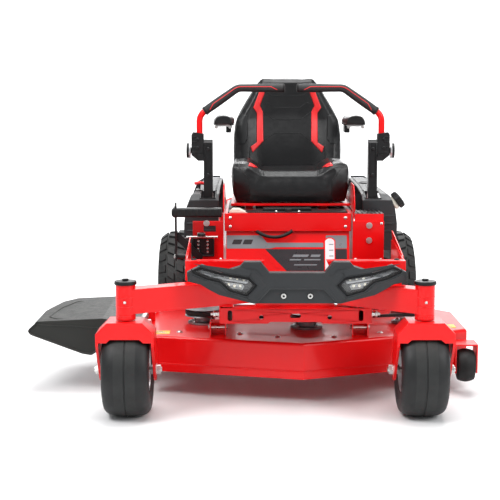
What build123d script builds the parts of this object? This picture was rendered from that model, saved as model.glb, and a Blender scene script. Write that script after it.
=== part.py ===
from build123d import *
import os
from math import atan2, degrees, sqrt

# Zero turn mower. Origin: ground level under the rear axle, on the frame's centre plane.
# +X is the machine's left side, -Y is the front, +Z is up. All sizes in millimetres.

# ---- driving dimensions ----
REAR_TYRE_R = 254.0
REAR_TYRE_W = 240.0
REAR_TYRE_X = 450.0
REAR_RIM_R = 112.0

CASTER_X_RIGHT = -592.0
CASTER_X_LEFT = 442.0
CASTER_Y = -1345.0
CASTER_TRAIL = 58.0
CASTER_TYRE_R = 165.0
CASTER_TYRE_W = 164.0
CASTER_RIM_R = 78.0
CASTER_AXLE_R = 10.0
PIVOT_TUBE_R = 34.0
PIVOT_TUBE_Z = (356.0, 478.0)
SPINDLE_R = 14.0
FORK_TOP = 353.0
FORK_HALF_WIDTH = 100.0

RAIL_X = 247.0
RAIL_W = 50.0
RAIL_Z = (315.0, 378.0)
RAIL_Y = (-1212.0, 380.0)
ARM_Z = (378.0, 463.0)
ARM_DEPTH = 64.0
FRONT_RAIL_Y = -1217.0
FRONT_RAIL_Z = (315.0, 371.0)
FRONT_RAIL_HALF = 272.0

PLATFORM_X = 388.0
PLATFORM_Y = (-1188.0, -770.0)
FLOOR_BACK_Y = -806.0
TOE_TOP = 538.0
TOE_SHELF = 466.0
TOE_BACK_Y = -1070.0
FLOOR_Z = (386.0, 392.0)
PANEL_Y = (-768.0, -762.0)
PANEL_BACK_Y = -170.0
SHELF_Z = (657.0, 663.0)

DECK_X = (-560.0, 672.0)
DECK_TOP = 230.0
DECK_BOTTOM = 96.0
DECK_NOSE = (32.0, -1159.0)
DECK_FRONT_Y = (-1000.0, -936.0)
DECK_BACK_Y = -450.0
DECK_SHEET = 6.0
BLADE_X = (-345.0, 56.0, 457.0)
BLADE_Y = (-760.0, -850.0, -760.0)
BLADE_HALF = 190.0
CHUTE_HINGE_X = -574.0
CHUTE_HINGE_Z = 262.0

NECK_START = (400.0, -540.0, 666.4)
NECK_END = (429.3, -540.0, 689.4)
NECK_R = 22.0
CAP_START = (429.6, -540.0, 689.6)
CAP_END = (448.5, -540.0, 704.4)
CAP_R = 34.0

ROLLER_X = 650.0
ROLLER_Y = -985.0
ROLLER_Z = 112.0

HITCH_Y = 416.0
HITCH_R = 9.5

SEAT_PLATE_Z = (681.0, 688.0)
SEAT_Y = (-620.0, -190.0)
SEAT_HALF = 236.0
SEAT_Z = (690.0, 815.0)
ARMREST_X = 272.0
ARMREST_PIVOT = (-175.0, 1000.0)

CONTROL_X = (313.0, 349.0)
CONTROL_Y = -560.0
CONTROL_PIVOT_Z = 640.0
CLAMP_KNOB_Z = 898.0
CLAMP_PIVOT = (349.5, 866.0)
BAR_X = 366.0
BAR_R = 12.5
BAR_BOTTOM = 951.0
BAR_SHOULDER = 1040.0
GRIP_X = (212.0, 26.0)
GRIP_Z = 1148.0
THROTTLE_X = -372.0

os.makedirs("parts", exist_ok=True)


def save(piece, label):
    """Label a finished piece and write it to its own STEP file."""
    piece.part.label = label
    export_step(piece.part, f"parts/{label}.step")


def add_box(x, y, z, mode=Mode.ADD):
    """A box inside the open BuildPart, given by its low and high limits on each axis."""
    centre = ((x[0] + x[1]) / 2, (y[0] + y[1]) / 2, (z[0] + z[1]) / 2)
    with Locations(centre):
        Box(x[1] - x[0], y[1] - y[0], z[1] - z[0], mode=mode)


def add_rod(start, end, radius, mode=Mode.ADD):
    """A round bar inside the open BuildPart, from start to end."""
    axis = Vector(*end) - Vector(*start)
    with BuildSketch(Plane(origin=start, z_dir=axis)) as section:
        Circle(radius)
    extrude(section.sketch, amount=axis.length, mode=mode)


def side_name(sign):
    """The machine's left is +X."""
    return "left" if sign > 0 else "right"


# ---- main frame: two box rails, a front cross rail and the caster arms ----
for side in (-1, 1):
    with BuildPart() as frame_rail:
        add_box((side * RAIL_X - RAIL_W / 2, side * RAIL_X + RAIL_W / 2), RAIL_Y, RAIL_Z)
        add_box(
            (side * RAIL_X - RAIL_W / 2 + 4, side * RAIL_X + RAIL_W / 2 - 4),
            RAIL_Y,
            (RAIL_Z[0] + 4, RAIL_Z[1] - 4),
            Mode.SUBTRACT,
        )
    save(frame_rail, f"frame_rail_{side_name(side)}")

with BuildPart() as front_rail:
    with BuildSketch(Plane.XZ.offset(-FRONT_RAIL_Y)):
        with BuildLine():
            Polyline(
                (-FRONT_RAIL_HALF, FRONT_RAIL_Z[0]),
                (-98, FRONT_RAIL_Z[0]),
                (-90, FRONT_RAIL_Z[0] + 6),
                (90, FRONT_RAIL_Z[0] + 6),
                (98, FRONT_RAIL_Z[0]),
                (FRONT_RAIL_HALF, FRONT_RAIL_Z[0]),
                (FRONT_RAIL_HALF, FRONT_RAIL_Z[1]),
                (-FRONT_RAIL_HALF, FRONT_RAIL_Z[1]),
                close=True,
            )
        make_face()
        with Locations((-122, 338), (122, 338)):
            Circle(8, mode=Mode.SUBTRACT)
        with Locations((0, 343)):
            SlotOverall(38, 15, mode=Mode.SUBTRACT)
        with Locations((-234, 344), (234, 344)):
            SlotOverall(38, 16, rotation=90, mode=Mode.SUBTRACT)
    extrude(amount=-5)
    add_box((-221, 221), (FRONT_RAIL_Y + 5, FRONT_RAIL_Y + 81), (FRONT_RAIL_Z[1] - 5, FRONT_RAIL_Z[1]))
    with BuildSketch(Plane.XZ.offset(-FRONT_RAIL_Y - 31)):
        with BuildLine():
            Polyline((-146, 371), (146, 371), (128, 386), (128, 462), (-128, 462), (-128, 386), close=True)
        make_face()
    extrude(amount=-50)
save(front_rail, "front_rail")


def make_caster_arm(pivot_x, inner_x, slope, label):
    """A box arm from the caster pivot tube in to the frame, swept back by the slope."""
    run = inner_x - pivot_x
    inner_y = CASTER_Y + abs(run) * slope
    middle = ((pivot_x + inner_x) / 2, (CASTER_Y + inner_y) / 2, sum(ARM_Z) / 2)
    length = sqrt(run**2 + (inner_y - CASTER_Y) ** 2)
    turn = degrees(atan2(inner_y - CASTER_Y, run))
    with BuildPart() as arm:
        with Locations(Location(middle, (0, 0, turn))):
            Box(length, ARM_DEPTH, ARM_Z[1] - ARM_Z[0])
        with BuildSketch(Plane.XY.offset(PIVOT_TUBE_Z[0])):
            with Locations((pivot_x, CASTER_Y)):
                Circle(PIVOT_TUBE_R)
        extrude(amount=PIVOT_TUBE_Z[1] - PIVOT_TUBE_Z[0])
        with BuildSketch(Plane.XY.offset(PIVOT_TUBE_Z[0])):
            with Locations((pivot_x, CASTER_Y)):
                Circle(SPINDLE_R + 0.4)
        extrude(amount=PIVOT_TUBE_Z[1] - PIVOT_TUBE_Z[0], mode=Mode.SUBTRACT)
    save(arm, label)


make_caster_arm(CASTER_X_RIGHT, -168.0, 0.54, "caster_arm_right")
make_caster_arm(CASTER_X_LEFT, 168.0, 0.689, "caster_arm_left")

# The footwell: a front wall over the caster arms, then a step down to the floor.
with BuildPart() as foot_platform:
    add_box((-PLATFORM_X - 6, PLATFORM_X + 6), (PLATFORM_Y[0] - 4, PLATFORM_Y[0]), (TOE_SHELF, TOE_TOP))
    add_box((-PLATFORM_X, PLATFORM_X), (PLATFORM_Y[0], PLATFORM_Y[0] + 40), (TOE_TOP - 6, TOE_TOP))
    add_box((-PLATFORM_X, PLATFORM_X), (PLATFORM_Y[0], TOE_BACK_Y), (TOE_SHELF, TOE_SHELF + 6))
    with BuildSketch(Plane.XZ.offset(1200)):
        with BuildLine():
            Polyline((-140, TOE_SHELF + 6), (140, TOE_SHELF + 6), (110, 540), (-110, 540), close=True)
        make_face()
    extrude(amount=-60, mode=Mode.SUBTRACT)
    add_box((-PLATFORM_X, PLATFORM_X), (TOE_BACK_Y - 6, TOE_BACK_Y), (FLOOR_Z[0], TOE_SHELF + 6))
    add_box((-PLATFORM_X, PLATFORM_X), (TOE_BACK_Y, FLOOR_BACK_Y), FLOOR_Z)
    with Locations((-364, -1166, TOE_TOP), (364, -1166, TOE_TOP)):
        Hole(9, depth=7)
    for side in (-1, 1):
        with BuildSketch(Plane.YZ.offset(side * PLATFORM_X)):
            with BuildLine():
                Polyline(
                    (PLATFORM_Y[0], TOE_SHELF),
                    (PLATFORM_Y[0], TOE_TOP),
                    (-1120, TOE_TOP),
                    (-880, 562),
                    (PLATFORM_Y[1], 562),
                    (PLATFORM_Y[1], FLOOR_Z[0]),
                    (TOE_BACK_Y - 6, FLOOR_Z[0]),
                    (TOE_BACK_Y - 6, TOE_SHELF),
                    close=True,
                )
            make_face()
        extrude(amount=side * 6)
    add_box((-396, -386), (-866, -769), (460, 580), Mode.SUBTRACT)
save(foot_platform, "foot_platform")

# ---- bumper with the headlight recesses ----
BUMPER_HALF = (
    (0, 518),
    (96, 518),
    (126, 556),
    (182, 556),
    (196, 540),
    (262, 519),
    (330, 543),
    (381, 516),
    (379, 484),
    (334, 476),
    (268, 441),
    (150, 411),
    (0, 411),
)
LENS_HALF = (
    (138, 474),
    (164, 502),
    (252, 516),
    (330, 537),
    (368, 524),
    (360, 514),
    (315, 496),
    (266, 484),
    (233, 454),
    (172, 436),
)


def mirrored(points, sign):
    """The outline points on the side given by sign."""
    return [(sign * x, z) for x, z in points]


with BuildPart() as lamp_recess:
    for side in (-1, 1):
        with BuildSketch(Plane.XZ.offset(1360)):
            with BuildLine():
                Polyline(*mirrored(LENS_HALF, side), close=True)
            make_face()
        extrude(amount=-90)
    with BuildSketch(Plane.XY.offset(390)):
        with BuildLine():
            Polyline(
                (-420, -1360),
                (420, -1360),
                (420, -1283),
                (298, -1317),
                (-298, -1317),
                (-420, -1283),
                close=True,
            )
        make_face()
    extrude(amount=190, mode=Mode.INTERSECT)

with BuildPart() as front_bumper:
    with BuildSketch(Plane.XZ.offset(1350)):
        with BuildLine():
            Polyline(*mirrored(BUMPER_HALF, 1), *reversed(mirrored(BUMPER_HALF[1:-1], -1)), close=True)
        make_face()
    extrude(amount=-100)
    with BuildSketch(Plane.XY.offset(390)):
        with BuildLine():
            Polyline(
                (-400, -1316),
                (-300, -1350),
                (300, -1350),
                (400, -1316),
                (400, -1276),
                (300, -1306),
                (-300, -1306),
                (-400, -1276),
                close=True,
            )
        make_face()
    extrude(amount=190, mode=Mode.INTERSECT)
    with BuildSketch(Plane.XZ.offset(1350)):
        with BuildLine():
            Polyline((-92, 459), (92, 459), (140, 411), (-140, 411), close=True)
        make_face()
    extrude(amount=-6, mode=Mode.SUBTRACT)
    add(lamp_recess.part, mode=Mode.SUBTRACT)
save(front_bumper, "front_bumper")

with BuildPart() as headlights:
    for side in (-1, 1):
        with BuildSketch(Plane.XZ.offset(1350)):
            with BuildLine():
                Polyline(*mirrored(LENS_HALF, side), close=True)
            make_face()
            offset(amount=-3)
        extrude(amount=-80)
    with BuildSketch(Plane.XY.offset(390)):
        with BuildLine():
            Polyline(
                (-398, -1310),
                (-298, -1344),
                (298, -1344),
                (398, -1310),
                (398, -1290),
                (298, -1318),
                (-298, -1318),
                (-398, -1290),
                close=True,
            )
        make_face()
    extrude(amount=190, mode=Mode.INTERSECT)
save(headlights, "headlights")

# ---- body panels ----
with BuildPart() as centre_panel:
    with BuildSketch(Plane.YZ.offset(-256)):
        with BuildLine():
            Polyline((-803.5, 393), (-746, 592), (-740, 592), (-797.5, 393), close=True)
        make_face()
    extrude(amount=482)
save(centre_panel, "centre_panel")

with BuildPart() as upper_panel:
    add_box((-262, 232), (-760, -754), (594, SHELF_Z[1]))
    add_box((-262, 232), (-754, PANEL_BACK_Y), SHELF_Z)
    for runner_x in (-165, 135):
        add_box((runner_x - 15, runner_x + 15), (-540, -180), (SHELF_Z[1], SEAT_PLATE_Z[0] - 0.5))
save(upper_panel, "upper_panel")

with BuildPart() as panel_hose:
    with BuildLine():
        ThreePointArc((-138, -768, 596), (-68, -774, 572), (2, -768, 596))
    with BuildSketch(Plane(origin=(-138, -768, 596), z_dir=(0.55, -0.05, -0.83))):
        Circle(7)
    sweep()
save(panel_hose, "panel_hose")

SIDE_PANELS = ((-386, -266, -1, "side_panel_right"), (238, 360, 1, "side_panel_left"))
for low_x, high_x, side, label in SIDE_PANELS:
    wall = (high_x - 4, high_x) if side < 0 else (low_x, low_x + 4)
    with BuildPart() as side_panel:
        add_box((low_x, high_x), PANEL_Y, (FLOOR_Z[1] + 1, 634))
        add_box(wall, (PANEL_Y[1], PANEL_BACK_Y), (RAIL_Z[1], SHELF_Z[1]))
        if side < 0:
            add_box((-344, -296), (PANEL_Y[0] - 2, PANEL_Y[1] + 2), (592, 616), Mode.SUBTRACT)
        else:
            add_box((246, 358), (PANEL_Y[1], -640), (638, 662))
            add_box((246, 358), (PANEL_Y[1], PANEL_Y[1] + 6), (634, 638))
    save(side_panel, label)


def make_fender(side):
    """The moulded console over a rear wheel, hollow from below, with a slot for the control arm."""
    outer_x = side * 428
    inner_x = side * 288
    with BuildPart() as fender:
        for inset, mode in ((0, Mode.ADD), (6, Mode.SUBTRACT)):
            with BuildSketch(Plane.YZ.offset(inner_x)):
                with BuildLine():
                    Polyline(
                        (-296, 500),
                        (-620 + inset, 500),
                        (-620 + inset, 702 - inset),
                        (-560, 722 - inset),
                        (-330, 738 - inset),
                        (60, 742 - inset),
                        (250, 716 - inset),
                        (330 - inset, 650),
                        (330 - inset, 540),
                        (290, 540),
                    )
                    ThreePointArc((290, 540), (0, 566), (-296, 500))
                make_face()
            extrude(amount=side * (140 - inset), mode=mode)
        with BuildSketch(Plane.XZ.offset(-400)):
            with BuildLine():
                Polyline(
                    (inner_x, 480),
                    (outer_x, 480),
                    (outer_x, 610),
                    (side * 420, 668),
                    (side * 402, 716),
                    (side * 362, 744),
                    (inner_x, 744),
                    close=True,
                )
            make_face()
        extrude(amount=1100, mode=Mode.INTERSECT)
        add_box(sorted((side * 300, side * 366)), (-604, -500), (600, 760), Mode.SUBTRACT)
        if side > 0:
            add_rod(NECK_START, NECK_END, NECK_R + 0.3, Mode.SUBTRACT)
    return fender


for side in (-1, 1):
    save(make_fender(side), f"fender_{side_name(side)}")

with BuildPart() as fuel_neck:
    add_rod(NECK_START, NECK_END, NECK_R)
save(fuel_neck, "fuel_neck")

with BuildPart() as fuel_cap:
    add_rod(CAP_START, CAP_END, CAP_R)
    fillet(fuel_cap.edges().filter_by(GeomType.CIRCLE), 3)
save(fuel_cap, "fuel_cap")

# ---- bolts of the side panels and the bumper ----
with BuildPart() as panel_bolts:
    with BuildSketch(Plane.XZ.offset(-PANEL_Y[0])):
        with Locations((-332, 626), (302, 617), (302, 558)):
            Circle(11)
    extrude(amount=6)
    with BuildSketch(Plane.XZ.offset(1344.2)):
        with Locations((-46, 437), (46, 437)):
            Circle(9)
    extrude(amount=5)
save(panel_bolts, "panel_bolts")


# ---- wheels ----
def make_wheel(centre, tyre_r, width, rim_r, hub_bore):
    """A pneumatic tyre and the rim inside it, turning about an axis along X."""
    x, y, z = centre
    half = width / 2
    shoulder = width * 0.34
    plane = Plane(origin=centre, x_dir=(1, 0, 0), z_dir=(0, -1, 0))
    with BuildPart() as tyre:
        with BuildSketch(plane):
            with BuildLine():
                ThreePointArc((-half, tyre_r * 0.76), (-half * 0.95, tyre_r * 0.89),
                              (-shoulder, tyre_r * 0.975))
                ThreePointArc((-shoulder, tyre_r * 0.975), (0, tyre_r), (shoulder, tyre_r * 0.975))
                ThreePointArc((shoulder, tyre_r * 0.975), (half * 0.95, tyre_r * 0.89),
                              (half, tyre_r * 0.76))
                Polyline((half, tyre_r * 0.76), (half * 0.92, rim_r + 1), (-half * 0.92, rim_r + 1),
                         (-half, tyre_r * 0.76))
            make_face()
        revolve(axis=Axis(centre, (1, 0, 0)))
    with BuildPart() as rim:
        with BuildSketch(plane):
            with BuildLine():
                Polyline(
                    (-half * 0.9, rim_r + 0.7),
                    (half * 0.9, rim_r + 0.7),
                    (half * 0.9, rim_r - 6),
                    (half * 0.3, rim_r - 12),
                    (half * 0.3, hub_bore + 16),
                    (half * 0.55, hub_bore + 16),
                    (half * 0.55, hub_bore),
                    (-half * 0.55, hub_bore),
                    (-half * 0.55, hub_bore + 16),
                    (half * 0.16, hub_bore + 16),
                    (half * 0.16, rim_r - 14),
                    (-half * 0.9, rim_r - 8),
                    close=True,
                )
            make_face()
        revolve(axis=Axis(centre, (1, 0, 0)))
    return tyre, rim


caster_axle_y = CASTER_Y + CASTER_TRAIL
for side, caster_x in ((-1, CASTER_X_RIGHT), (1, CASTER_X_LEFT)):
    name = side_name(side)
    axle_centre = (caster_x, caster_axle_y, CASTER_TYRE_R)
    caster_tyre, caster_rim = make_wheel(
        axle_centre, CASTER_TYRE_R, CASTER_TYRE_W, CASTER_RIM_R, CASTER_AXLE_R + 0.3
    )
    save(caster_tyre, f"caster_tyre_{name}")
    save(caster_rim, f"caster_rim_{name}")

    with BuildPart() as caster_fork:
        with BuildSketch(Plane.XZ.offset(1406)):
            with BuildLine():
                Polyline(
                    (caster_x - 61, FORK_TOP),
                    (caster_x + 61, FORK_TOP),
                    (caster_x + FORK_HALF_WIDTH, 314),
                    (caster_x + FORK_HALF_WIDTH, 128),
                    (caster_x + FORK_HALF_WIDTH - 9, 128),
                    (caster_x + FORK_HALF_WIDTH - 9, 310),
                    (caster_x + 57, FORK_TOP - 9),
                    (caster_x - 57, FORK_TOP - 9),
                    (caster_x - FORK_HALF_WIDTH + 9, 310),
                    (caster_x - FORK_HALF_WIDTH + 9, 128),
                    (caster_x - FORK_HALF_WIDTH, 128),
                    (caster_x - FORK_HALF_WIDTH, 314),
                    close=True,
                )
            make_face()
        extrude(amount=-166)
        with BuildSketch(Plane.YZ.offset(caster_x - 110)):
            with BuildLine():
                Polyline(
                    (-1406, 360),
                    (-1406, 272),
                    (-1312, 140),
                    (-1296, 128),
                    (-1278, 128),
                    (-1258, 150),
                    (-1258, 190),
                    (-1284, 300),
                    (-1284, 360),
                    close=True,
                )
            make_face()
        extrude(amount=220, mode=Mode.INTERSECT)
        with BuildSketch(Plane.YZ.offset(caster_x - 110)):
            with Locations((-1336, 262)):
                SlotOverall(44, 11, rotation=90)
        extrude(amount=220, mode=Mode.SUBTRACT)
        with BuildSketch(Plane.XZ.offset(1406)):
            with BuildLine():
                Polyline(
                    (caster_x - 93, 314),
                    (caster_x - 57, 350),
                    (caster_x + 57, 350),
                    (caster_x + 93, 314),
                    (caster_x + 93, 283),
                    (caster_x + 64, 283),
                    (caster_x + 50, 295),
                    (caster_x - 50, 295),
                    (caster_x - 64, 283),
                    (caster_x - 93, 283),
                    close=True,
                )
            make_face()
        extrude(amount=-6)
        add_rod((caster_x, CASTER_Y, FORK_TOP - 2), (caster_x, CASTER_Y, PIVOT_TUBE_Z[1] + 0.4), SPINDLE_R)
    save(caster_fork, f"caster_fork_{name}")

    with BuildPart() as caster_axle:
        add_rod((caster_x - 91, axle_centre[1], axle_centre[2]),
                (caster_x + 91, axle_centre[1], axle_centre[2]), CASTER_AXLE_R)
        for end in (-1, 1):
            start = (caster_x + end * 100, axle_centre[1], axle_centre[2])
            with BuildSketch(Plane(origin=start, x_dir=(0, 1, 0), z_dir=(end, 0, 0))):
                RegularPolygon(17, 6)
            extrude(amount=15)
    save(caster_axle, f"caster_axle_{name}")

    with BuildPart() as caster_cap:
        add_rod((caster_x, CASTER_Y, 478.5), (caster_x, CASTER_Y, 491), 38)
        fillet(caster_cap.edges().filter_by(GeomType.CIRCLE).group_by(Axis.Z)[-1], 3)
        with BuildSketch(Plane.XY.offset(491)):
            with Locations((caster_x, CASTER_Y)):
                RegularPolygon(11, 6)
        extrude(amount=7)
    save(caster_cap, f"caster_cap_{name}")

    rear_centre = (side * REAR_TYRE_X, 0, REAR_TYRE_R)
    rear_tyre, rear_rim = make_wheel(rear_centre, REAR_TYRE_R, REAR_TYRE_W, REAR_RIM_R, 17.3)
    save(rear_tyre, f"rear_tyre_{name}")
    save(rear_rim, f"rear_rim_{name}")

# ---- drive: two hydrostatic transaxles, the engine and its covers ----
with BuildPart() as transaxles:
    for side in (-1, 1):
        add_box(sorted((side * 130, side * 220)), (-90, 110), (190, 312))
        add_rod((side * 219, 0, REAR_TYRE_R), (side * 500, 0, REAR_TYRE_R), 17)
        add_rod((side * 219, 0, REAR_TYRE_R), (side * 322, 0, REAR_TYRE_R), 44)
save(transaxles, "transaxles")

with BuildPart() as engine_frame:
    add_box((-276, 276), (-160, RAIL_Y[1]), (379, 386))
    with Locations((0, 160, 386)):
        Hole(60, depth=8)
    add_box((-40, 40), (RAIL_Y[1], HITCH_Y + 20), (379, 386))
    with Locations((0, HITCH_Y, 386)):
        Hole(HITCH_R, depth=8)
    with BuildLine():
        FilletPolyline((-300, 300, 345), (-300, 460, 345), (-300, 460, 600), (300, 460, 600),
                       (300, 460, 345), (300, 300, 345), radius=60)
    with BuildSketch(Plane(origin=(-300, 300, 345), z_dir=(0, 1, 0))):
        Circle(16)
    sweep()
    for side in (-1, 1):
        add_box(sorted((side * 273, side * 318)), (290, 390), (320, 372))
save(engine_frame, "engine_frame")

with BuildPart() as engine_block:
    with BuildSketch(Plane.XY.offset(386.5)):
        with Locations((0, 160)):
            RectangleRounded(300, 320, 50)
    extrude(amount=150)
    add_rod((-150, 372, 470), (150, 372, 470), 44)
    add_rod((120, 372, 470), (120, 372, 396), 14)
save(engine_block, "engine_block")

with BuildPart() as engine_cover:
    with BuildSketch(Plane.XY.offset(538)):
        with Locations((0, 160)):
            RectangleRounded(360, 340, 90)
    extrude(amount=110, taper=12)
    fillet(engine_cover.edges().group_by(Axis.Z)[-1], 14)
    with BuildSketch(Plane.XY.offset(640)):
        with Locations((0, 160)):
            Circle(98)
    extrude(amount=30)
save(engine_cover, "engine_cover")

# ---- cutting deck: a sheet shell with three spindles, belt, brackets and roller ----
deck_outline = (
    (DECK_X[0], DECK_FRONT_Y[0]),
    DECK_NOSE,
    (590, DECK_FRONT_Y[1]),
    (DECK_X[1], -880),
    (DECK_X[1], -520),
    (612, DECK_BACK_Y),
    (DECK_X[0], DECK_BACK_Y),
)
with BuildPart() as deck_shell:
    with BuildSketch(Plane.XY.offset(DECK_BOTTOM)):
        with BuildLine():
            Polyline(*deck_outline, close=True)
        make_face()
    extrude(amount=DECK_TOP - DECK_BOTTOM)
    fillet(deck_shell.edges().group_by(Axis.Z)[-1], 12)
    with BuildSketch(Plane.XY.offset(DECK_BOTTOM)):
        with BuildLine():
            Polyline(*deck_outline, close=True)
        make_face()
        offset(amount=3, kind=Kind.INTERSECTION)
    extrude(amount=28)
    with BuildSketch(Plane.XY.offset(DECK_BOTTOM)):
        with BuildLine():
            Polyline(*deck_outline, close=True)
        make_face()
        offset(amount=-DECK_SHEET, kind=Kind.INTERSECTION)
    extrude(amount=DECK_TOP - DECK_BOTTOM - DECK_SHEET, mode=Mode.SUBTRACT)
    add_box((DECK_X[0] - 20, DECK_X[0] + 20), (-940, -560), (80, 212), Mode.SUBTRACT)
    for blade_x, blade_y in zip(BLADE_X, BLADE_Y):
        add_rod((blade_x, blade_y, 200), (blade_x, blade_y, 240), 30, Mode.SUBTRACT)
save(deck_shell, "deck_shell")

with BuildPart() as spindle_housings:
    for blade_x, blade_y in zip(BLADE_X, BLADE_Y):
        add_rod((blade_x, blade_y, 230), (blade_x, blade_y, 238), 62)
        add_rod((blade_x, blade_y, 190), (blade_x, blade_y, 258), 29)
        add_rod((blade_x, blade_y, 180), (blade_x, blade_y, 270), 12.8, Mode.SUBTRACT)
save(spindle_housings, "spindle_housings")

BLADE_NAMES = ("blade_right", "blade_centre", "blade_left")
for blade_x, blade_y, blade_name in zip(BLADE_X, BLADE_Y, BLADE_NAMES):
    with BuildPart() as blade:
        with BuildSketch(Plane.XY.offset(140)):
            with Locations((blade_x, blade_y)):
                SlotOverall(2 * BLADE_HALF, 58)
        extrude(amount=6)
        for end in (-1, 1):
            wing_x = sorted((blade_x + end * 90, blade_x + end * 160))
            wing_y = sorted((blade_y - end * 26, blade_y - end * 20))
            add_box(wing_x, wing_y, (145, 168))
        add_rod((blade_x, blade_y, 130), (blade_x, blade_y, 292), 12.5)
        add_rod((blade_x, blade_y, 126), (blade_x, blade_y, 140), 22)
        with BuildSketch(Plane.XZ.offset(-blade_y)):
            with BuildLine():
                Polyline(
                    (blade_x + 12, 262),
                    (blade_x + 74, 262),
                    (blade_x + 66, 270),
                    (blade_x + 66, 282),
                    (blade_x + 74, 290),
                    (blade_x + 12, 290),
                    close=True,
                )
            make_face()
        revolve(axis=Axis((blade_x, blade_y, 0), (0, 0, 1)))
    save(blade, blade_name)

with BuildPart() as drive_belt:
    with BuildSketch(Plane.XY.offset(270.5)):
        with Locations(*zip(BLADE_X, BLADE_Y)):
            Circle(73)
        make_hull()
        with Locations(*zip(BLADE_X, BLADE_Y)):
            Circle(66.6, mode=Mode.SUBTRACT)
        with BuildSketch(mode=Mode.SUBTRACT):
            with Locations(*zip(BLADE_X, BLADE_Y)):
                Circle(66.6)
            make_hull()
    extrude(amount=11)
save(drive_belt, "drive_belt")

with BuildPart() as deck_brackets:
    for bracket_x in (-282, 248):
        for edge in (-1, 1):
            add_box(sorted((bracket_x + edge * 26, bracket_x + edge * 31)), (-1034, -980), (230, 286))
        add_box((bracket_x - 31, bracket_x + 31), (-984, -979), (230, 286))
    for plate_x in (ROLLER_X - 42, ROLLER_X + 37):
        add_box((plate_x, plate_x + 5), (ROLLER_Y - 30, -928), (86, 196))
    add_box((ROLLER_X - 42, ROLLER_X + 42), (ROLLER_Y - 30, -928), (190, 196))
    add_rod((ROLLER_X - 40, ROLLER_Y, ROLLER_Z), (ROLLER_X + 40, ROLLER_Y, ROLLER_Z), 8)
    add_rod((CHUTE_HINGE_X, -930, CHUTE_HINGE_Z), (CHUTE_HINGE_X, -500, CHUTE_HINGE_Z), 6)
    for post_y in (-920, -720, -520):
        add_box((CHUTE_HINGE_X - 8, CHUTE_HINGE_X + 34), (post_y - 10, post_y + 10), (238, 270))
        add_box((CHUTE_HINGE_X + 18, CHUTE_HINGE_X + 34), (post_y - 10, post_y + 10), (230, 240))
save(deck_brackets, "deck_brackets")

with BuildPart() as deck_roller:
    with BuildSketch(Plane(origin=(ROLLER_X, ROLLER_Y, ROLLER_Z), x_dir=(1, 0, 0), z_dir=(0, -1, 0))):
        with BuildLine():
            Line((-34, 8.4), (34, 8.4))
            Line((34, 8.4), (34, 40))
            ThreePointArc((34, 40), (0, 63), (-34, 40))
            Line((-34, 40), (-34, 8.4))
        make_face()
    revolve(axis=Axis((ROLLER_X, ROLLER_Y, ROLLER_Z), (1, 0, 0)))
save(deck_roller, "deck_roller")

# ---- discharge chute, hinged along the deck's right edge ----
CHUTE_Y = (-966, -470)
with BuildPart() as discharge_chute:
    with BuildSketch(Plane.XZ.offset(-CHUTE_Y[1])):
        with BuildLine():
            Polyline(
                (CHUTE_HINGE_X - 12, 262),
                (-720, 286),
                (-845, 280),
                (-970, 274),
                (-1003, 237),
                (-990, 224),
                (-985, 228),
                (-995, 238),
                (-966, 268),
                (-845, 274),
                (-720, 280),
                (CHUTE_HINGE_X - 12, 256),
                close=True,
            )
        make_face()
    extrude(amount=CHUTE_Y[1] - CHUTE_Y[0])
    with BuildSketch(Plane.XY.offset(100)):
        with BuildLine():
            Polyline(
                (CHUTE_HINGE_X - 12, CHUTE_Y[0]),
                (-1010, CHUTE_Y[0]),
                (-960, -680),
                (-930, -540),
                (-880, CHUTE_Y[1]),
                (CHUTE_HINGE_X - 12, CHUTE_Y[1]),
                close=True,
            )
        make_face()
    extrude(amount=250, mode=Mode.INTERSECT)
    with BuildSketch(Plane.XZ.offset(-CHUTE_Y[0])):
        with BuildLine():
            Polyline(
                (-640, 268),
                (-720, 282),
                (-845, 276),
                (-968, 270),
                (-1003, 237),
                (-990, 224),
                (-796, 152),
                (-764, 147),
                (-700, 190),
                (-640, 240),
                close=True,
            )
        make_face()
    extrude(amount=-6)
save(discharge_chute, "discharge_chute")

# ---- deck lift: pedal, height plate and height pin ----
PEDAL_PIVOT = (-805.0, 500.0)
with BuildPart() as lift_pedal:
    with BuildSketch(Plane.YZ.offset(-459)):
        with Locations((-828, 674)):
            RectangleRounded(34, 36, 9)
    extrude(amount=187)
    with BuildSketch(Plane.YZ.offset(-452)):
        with BuildLine():
            Polyline((-845, 700), (-822, 712), (-812, 680), (-790, 510), (-796, 484), (-818, 484),
                     (-822, 510), close=True)
        make_face()
    extrude(amount=7)
    with BuildSketch(Plane.XZ.offset(808)):
        with BuildLine():
            Polyline((-450, 586), (-440, 596), (-346, 506), (-346, 484), (-362, 484), (-450, 566),
                     close=True)
        make_face()
    extrude(amount=5)
    add_rod((-452, *PEDAL_PIVOT), (-396, *PEDAL_PIVOT), 10)
save(lift_pedal, "lift_pedal")

with BuildPart() as height_plate:
    add_box((-388, -302), (-788, -769), (497, 502))
    add_box((-388, -302), (-774, -769), (497, 566))
    for edge_x in (-388, -306):
        add_box((edge_x, edge_x + 4), (-788, -769), (497, 566))
save(height_plate, "height_plate")

with BuildPart() as height_pin:
    add_rod((-410, -780, 573), (-288, -780, 573), 4)
    with BuildSketch(Plane.XY.offset(578)):
        with Locations((-352, -780)):
            Ellipse(16, 11)
    extrude(amount=12)
    add_rod((-352, -780, 573), (-352, -780, 579), 3)
save(height_pin, "height_pin")

# ---- seat ----
with BuildPart() as seat_base:
    add_box((-240, 240), (-600, -150), SEAT_PLATE_Z)
    add_box((-240, 240), (-606, -600), (SEAT_PLATE_Z[0] - 3, SEAT_PLATE_Z[1]))
save(seat_base, "seat_base")

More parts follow.
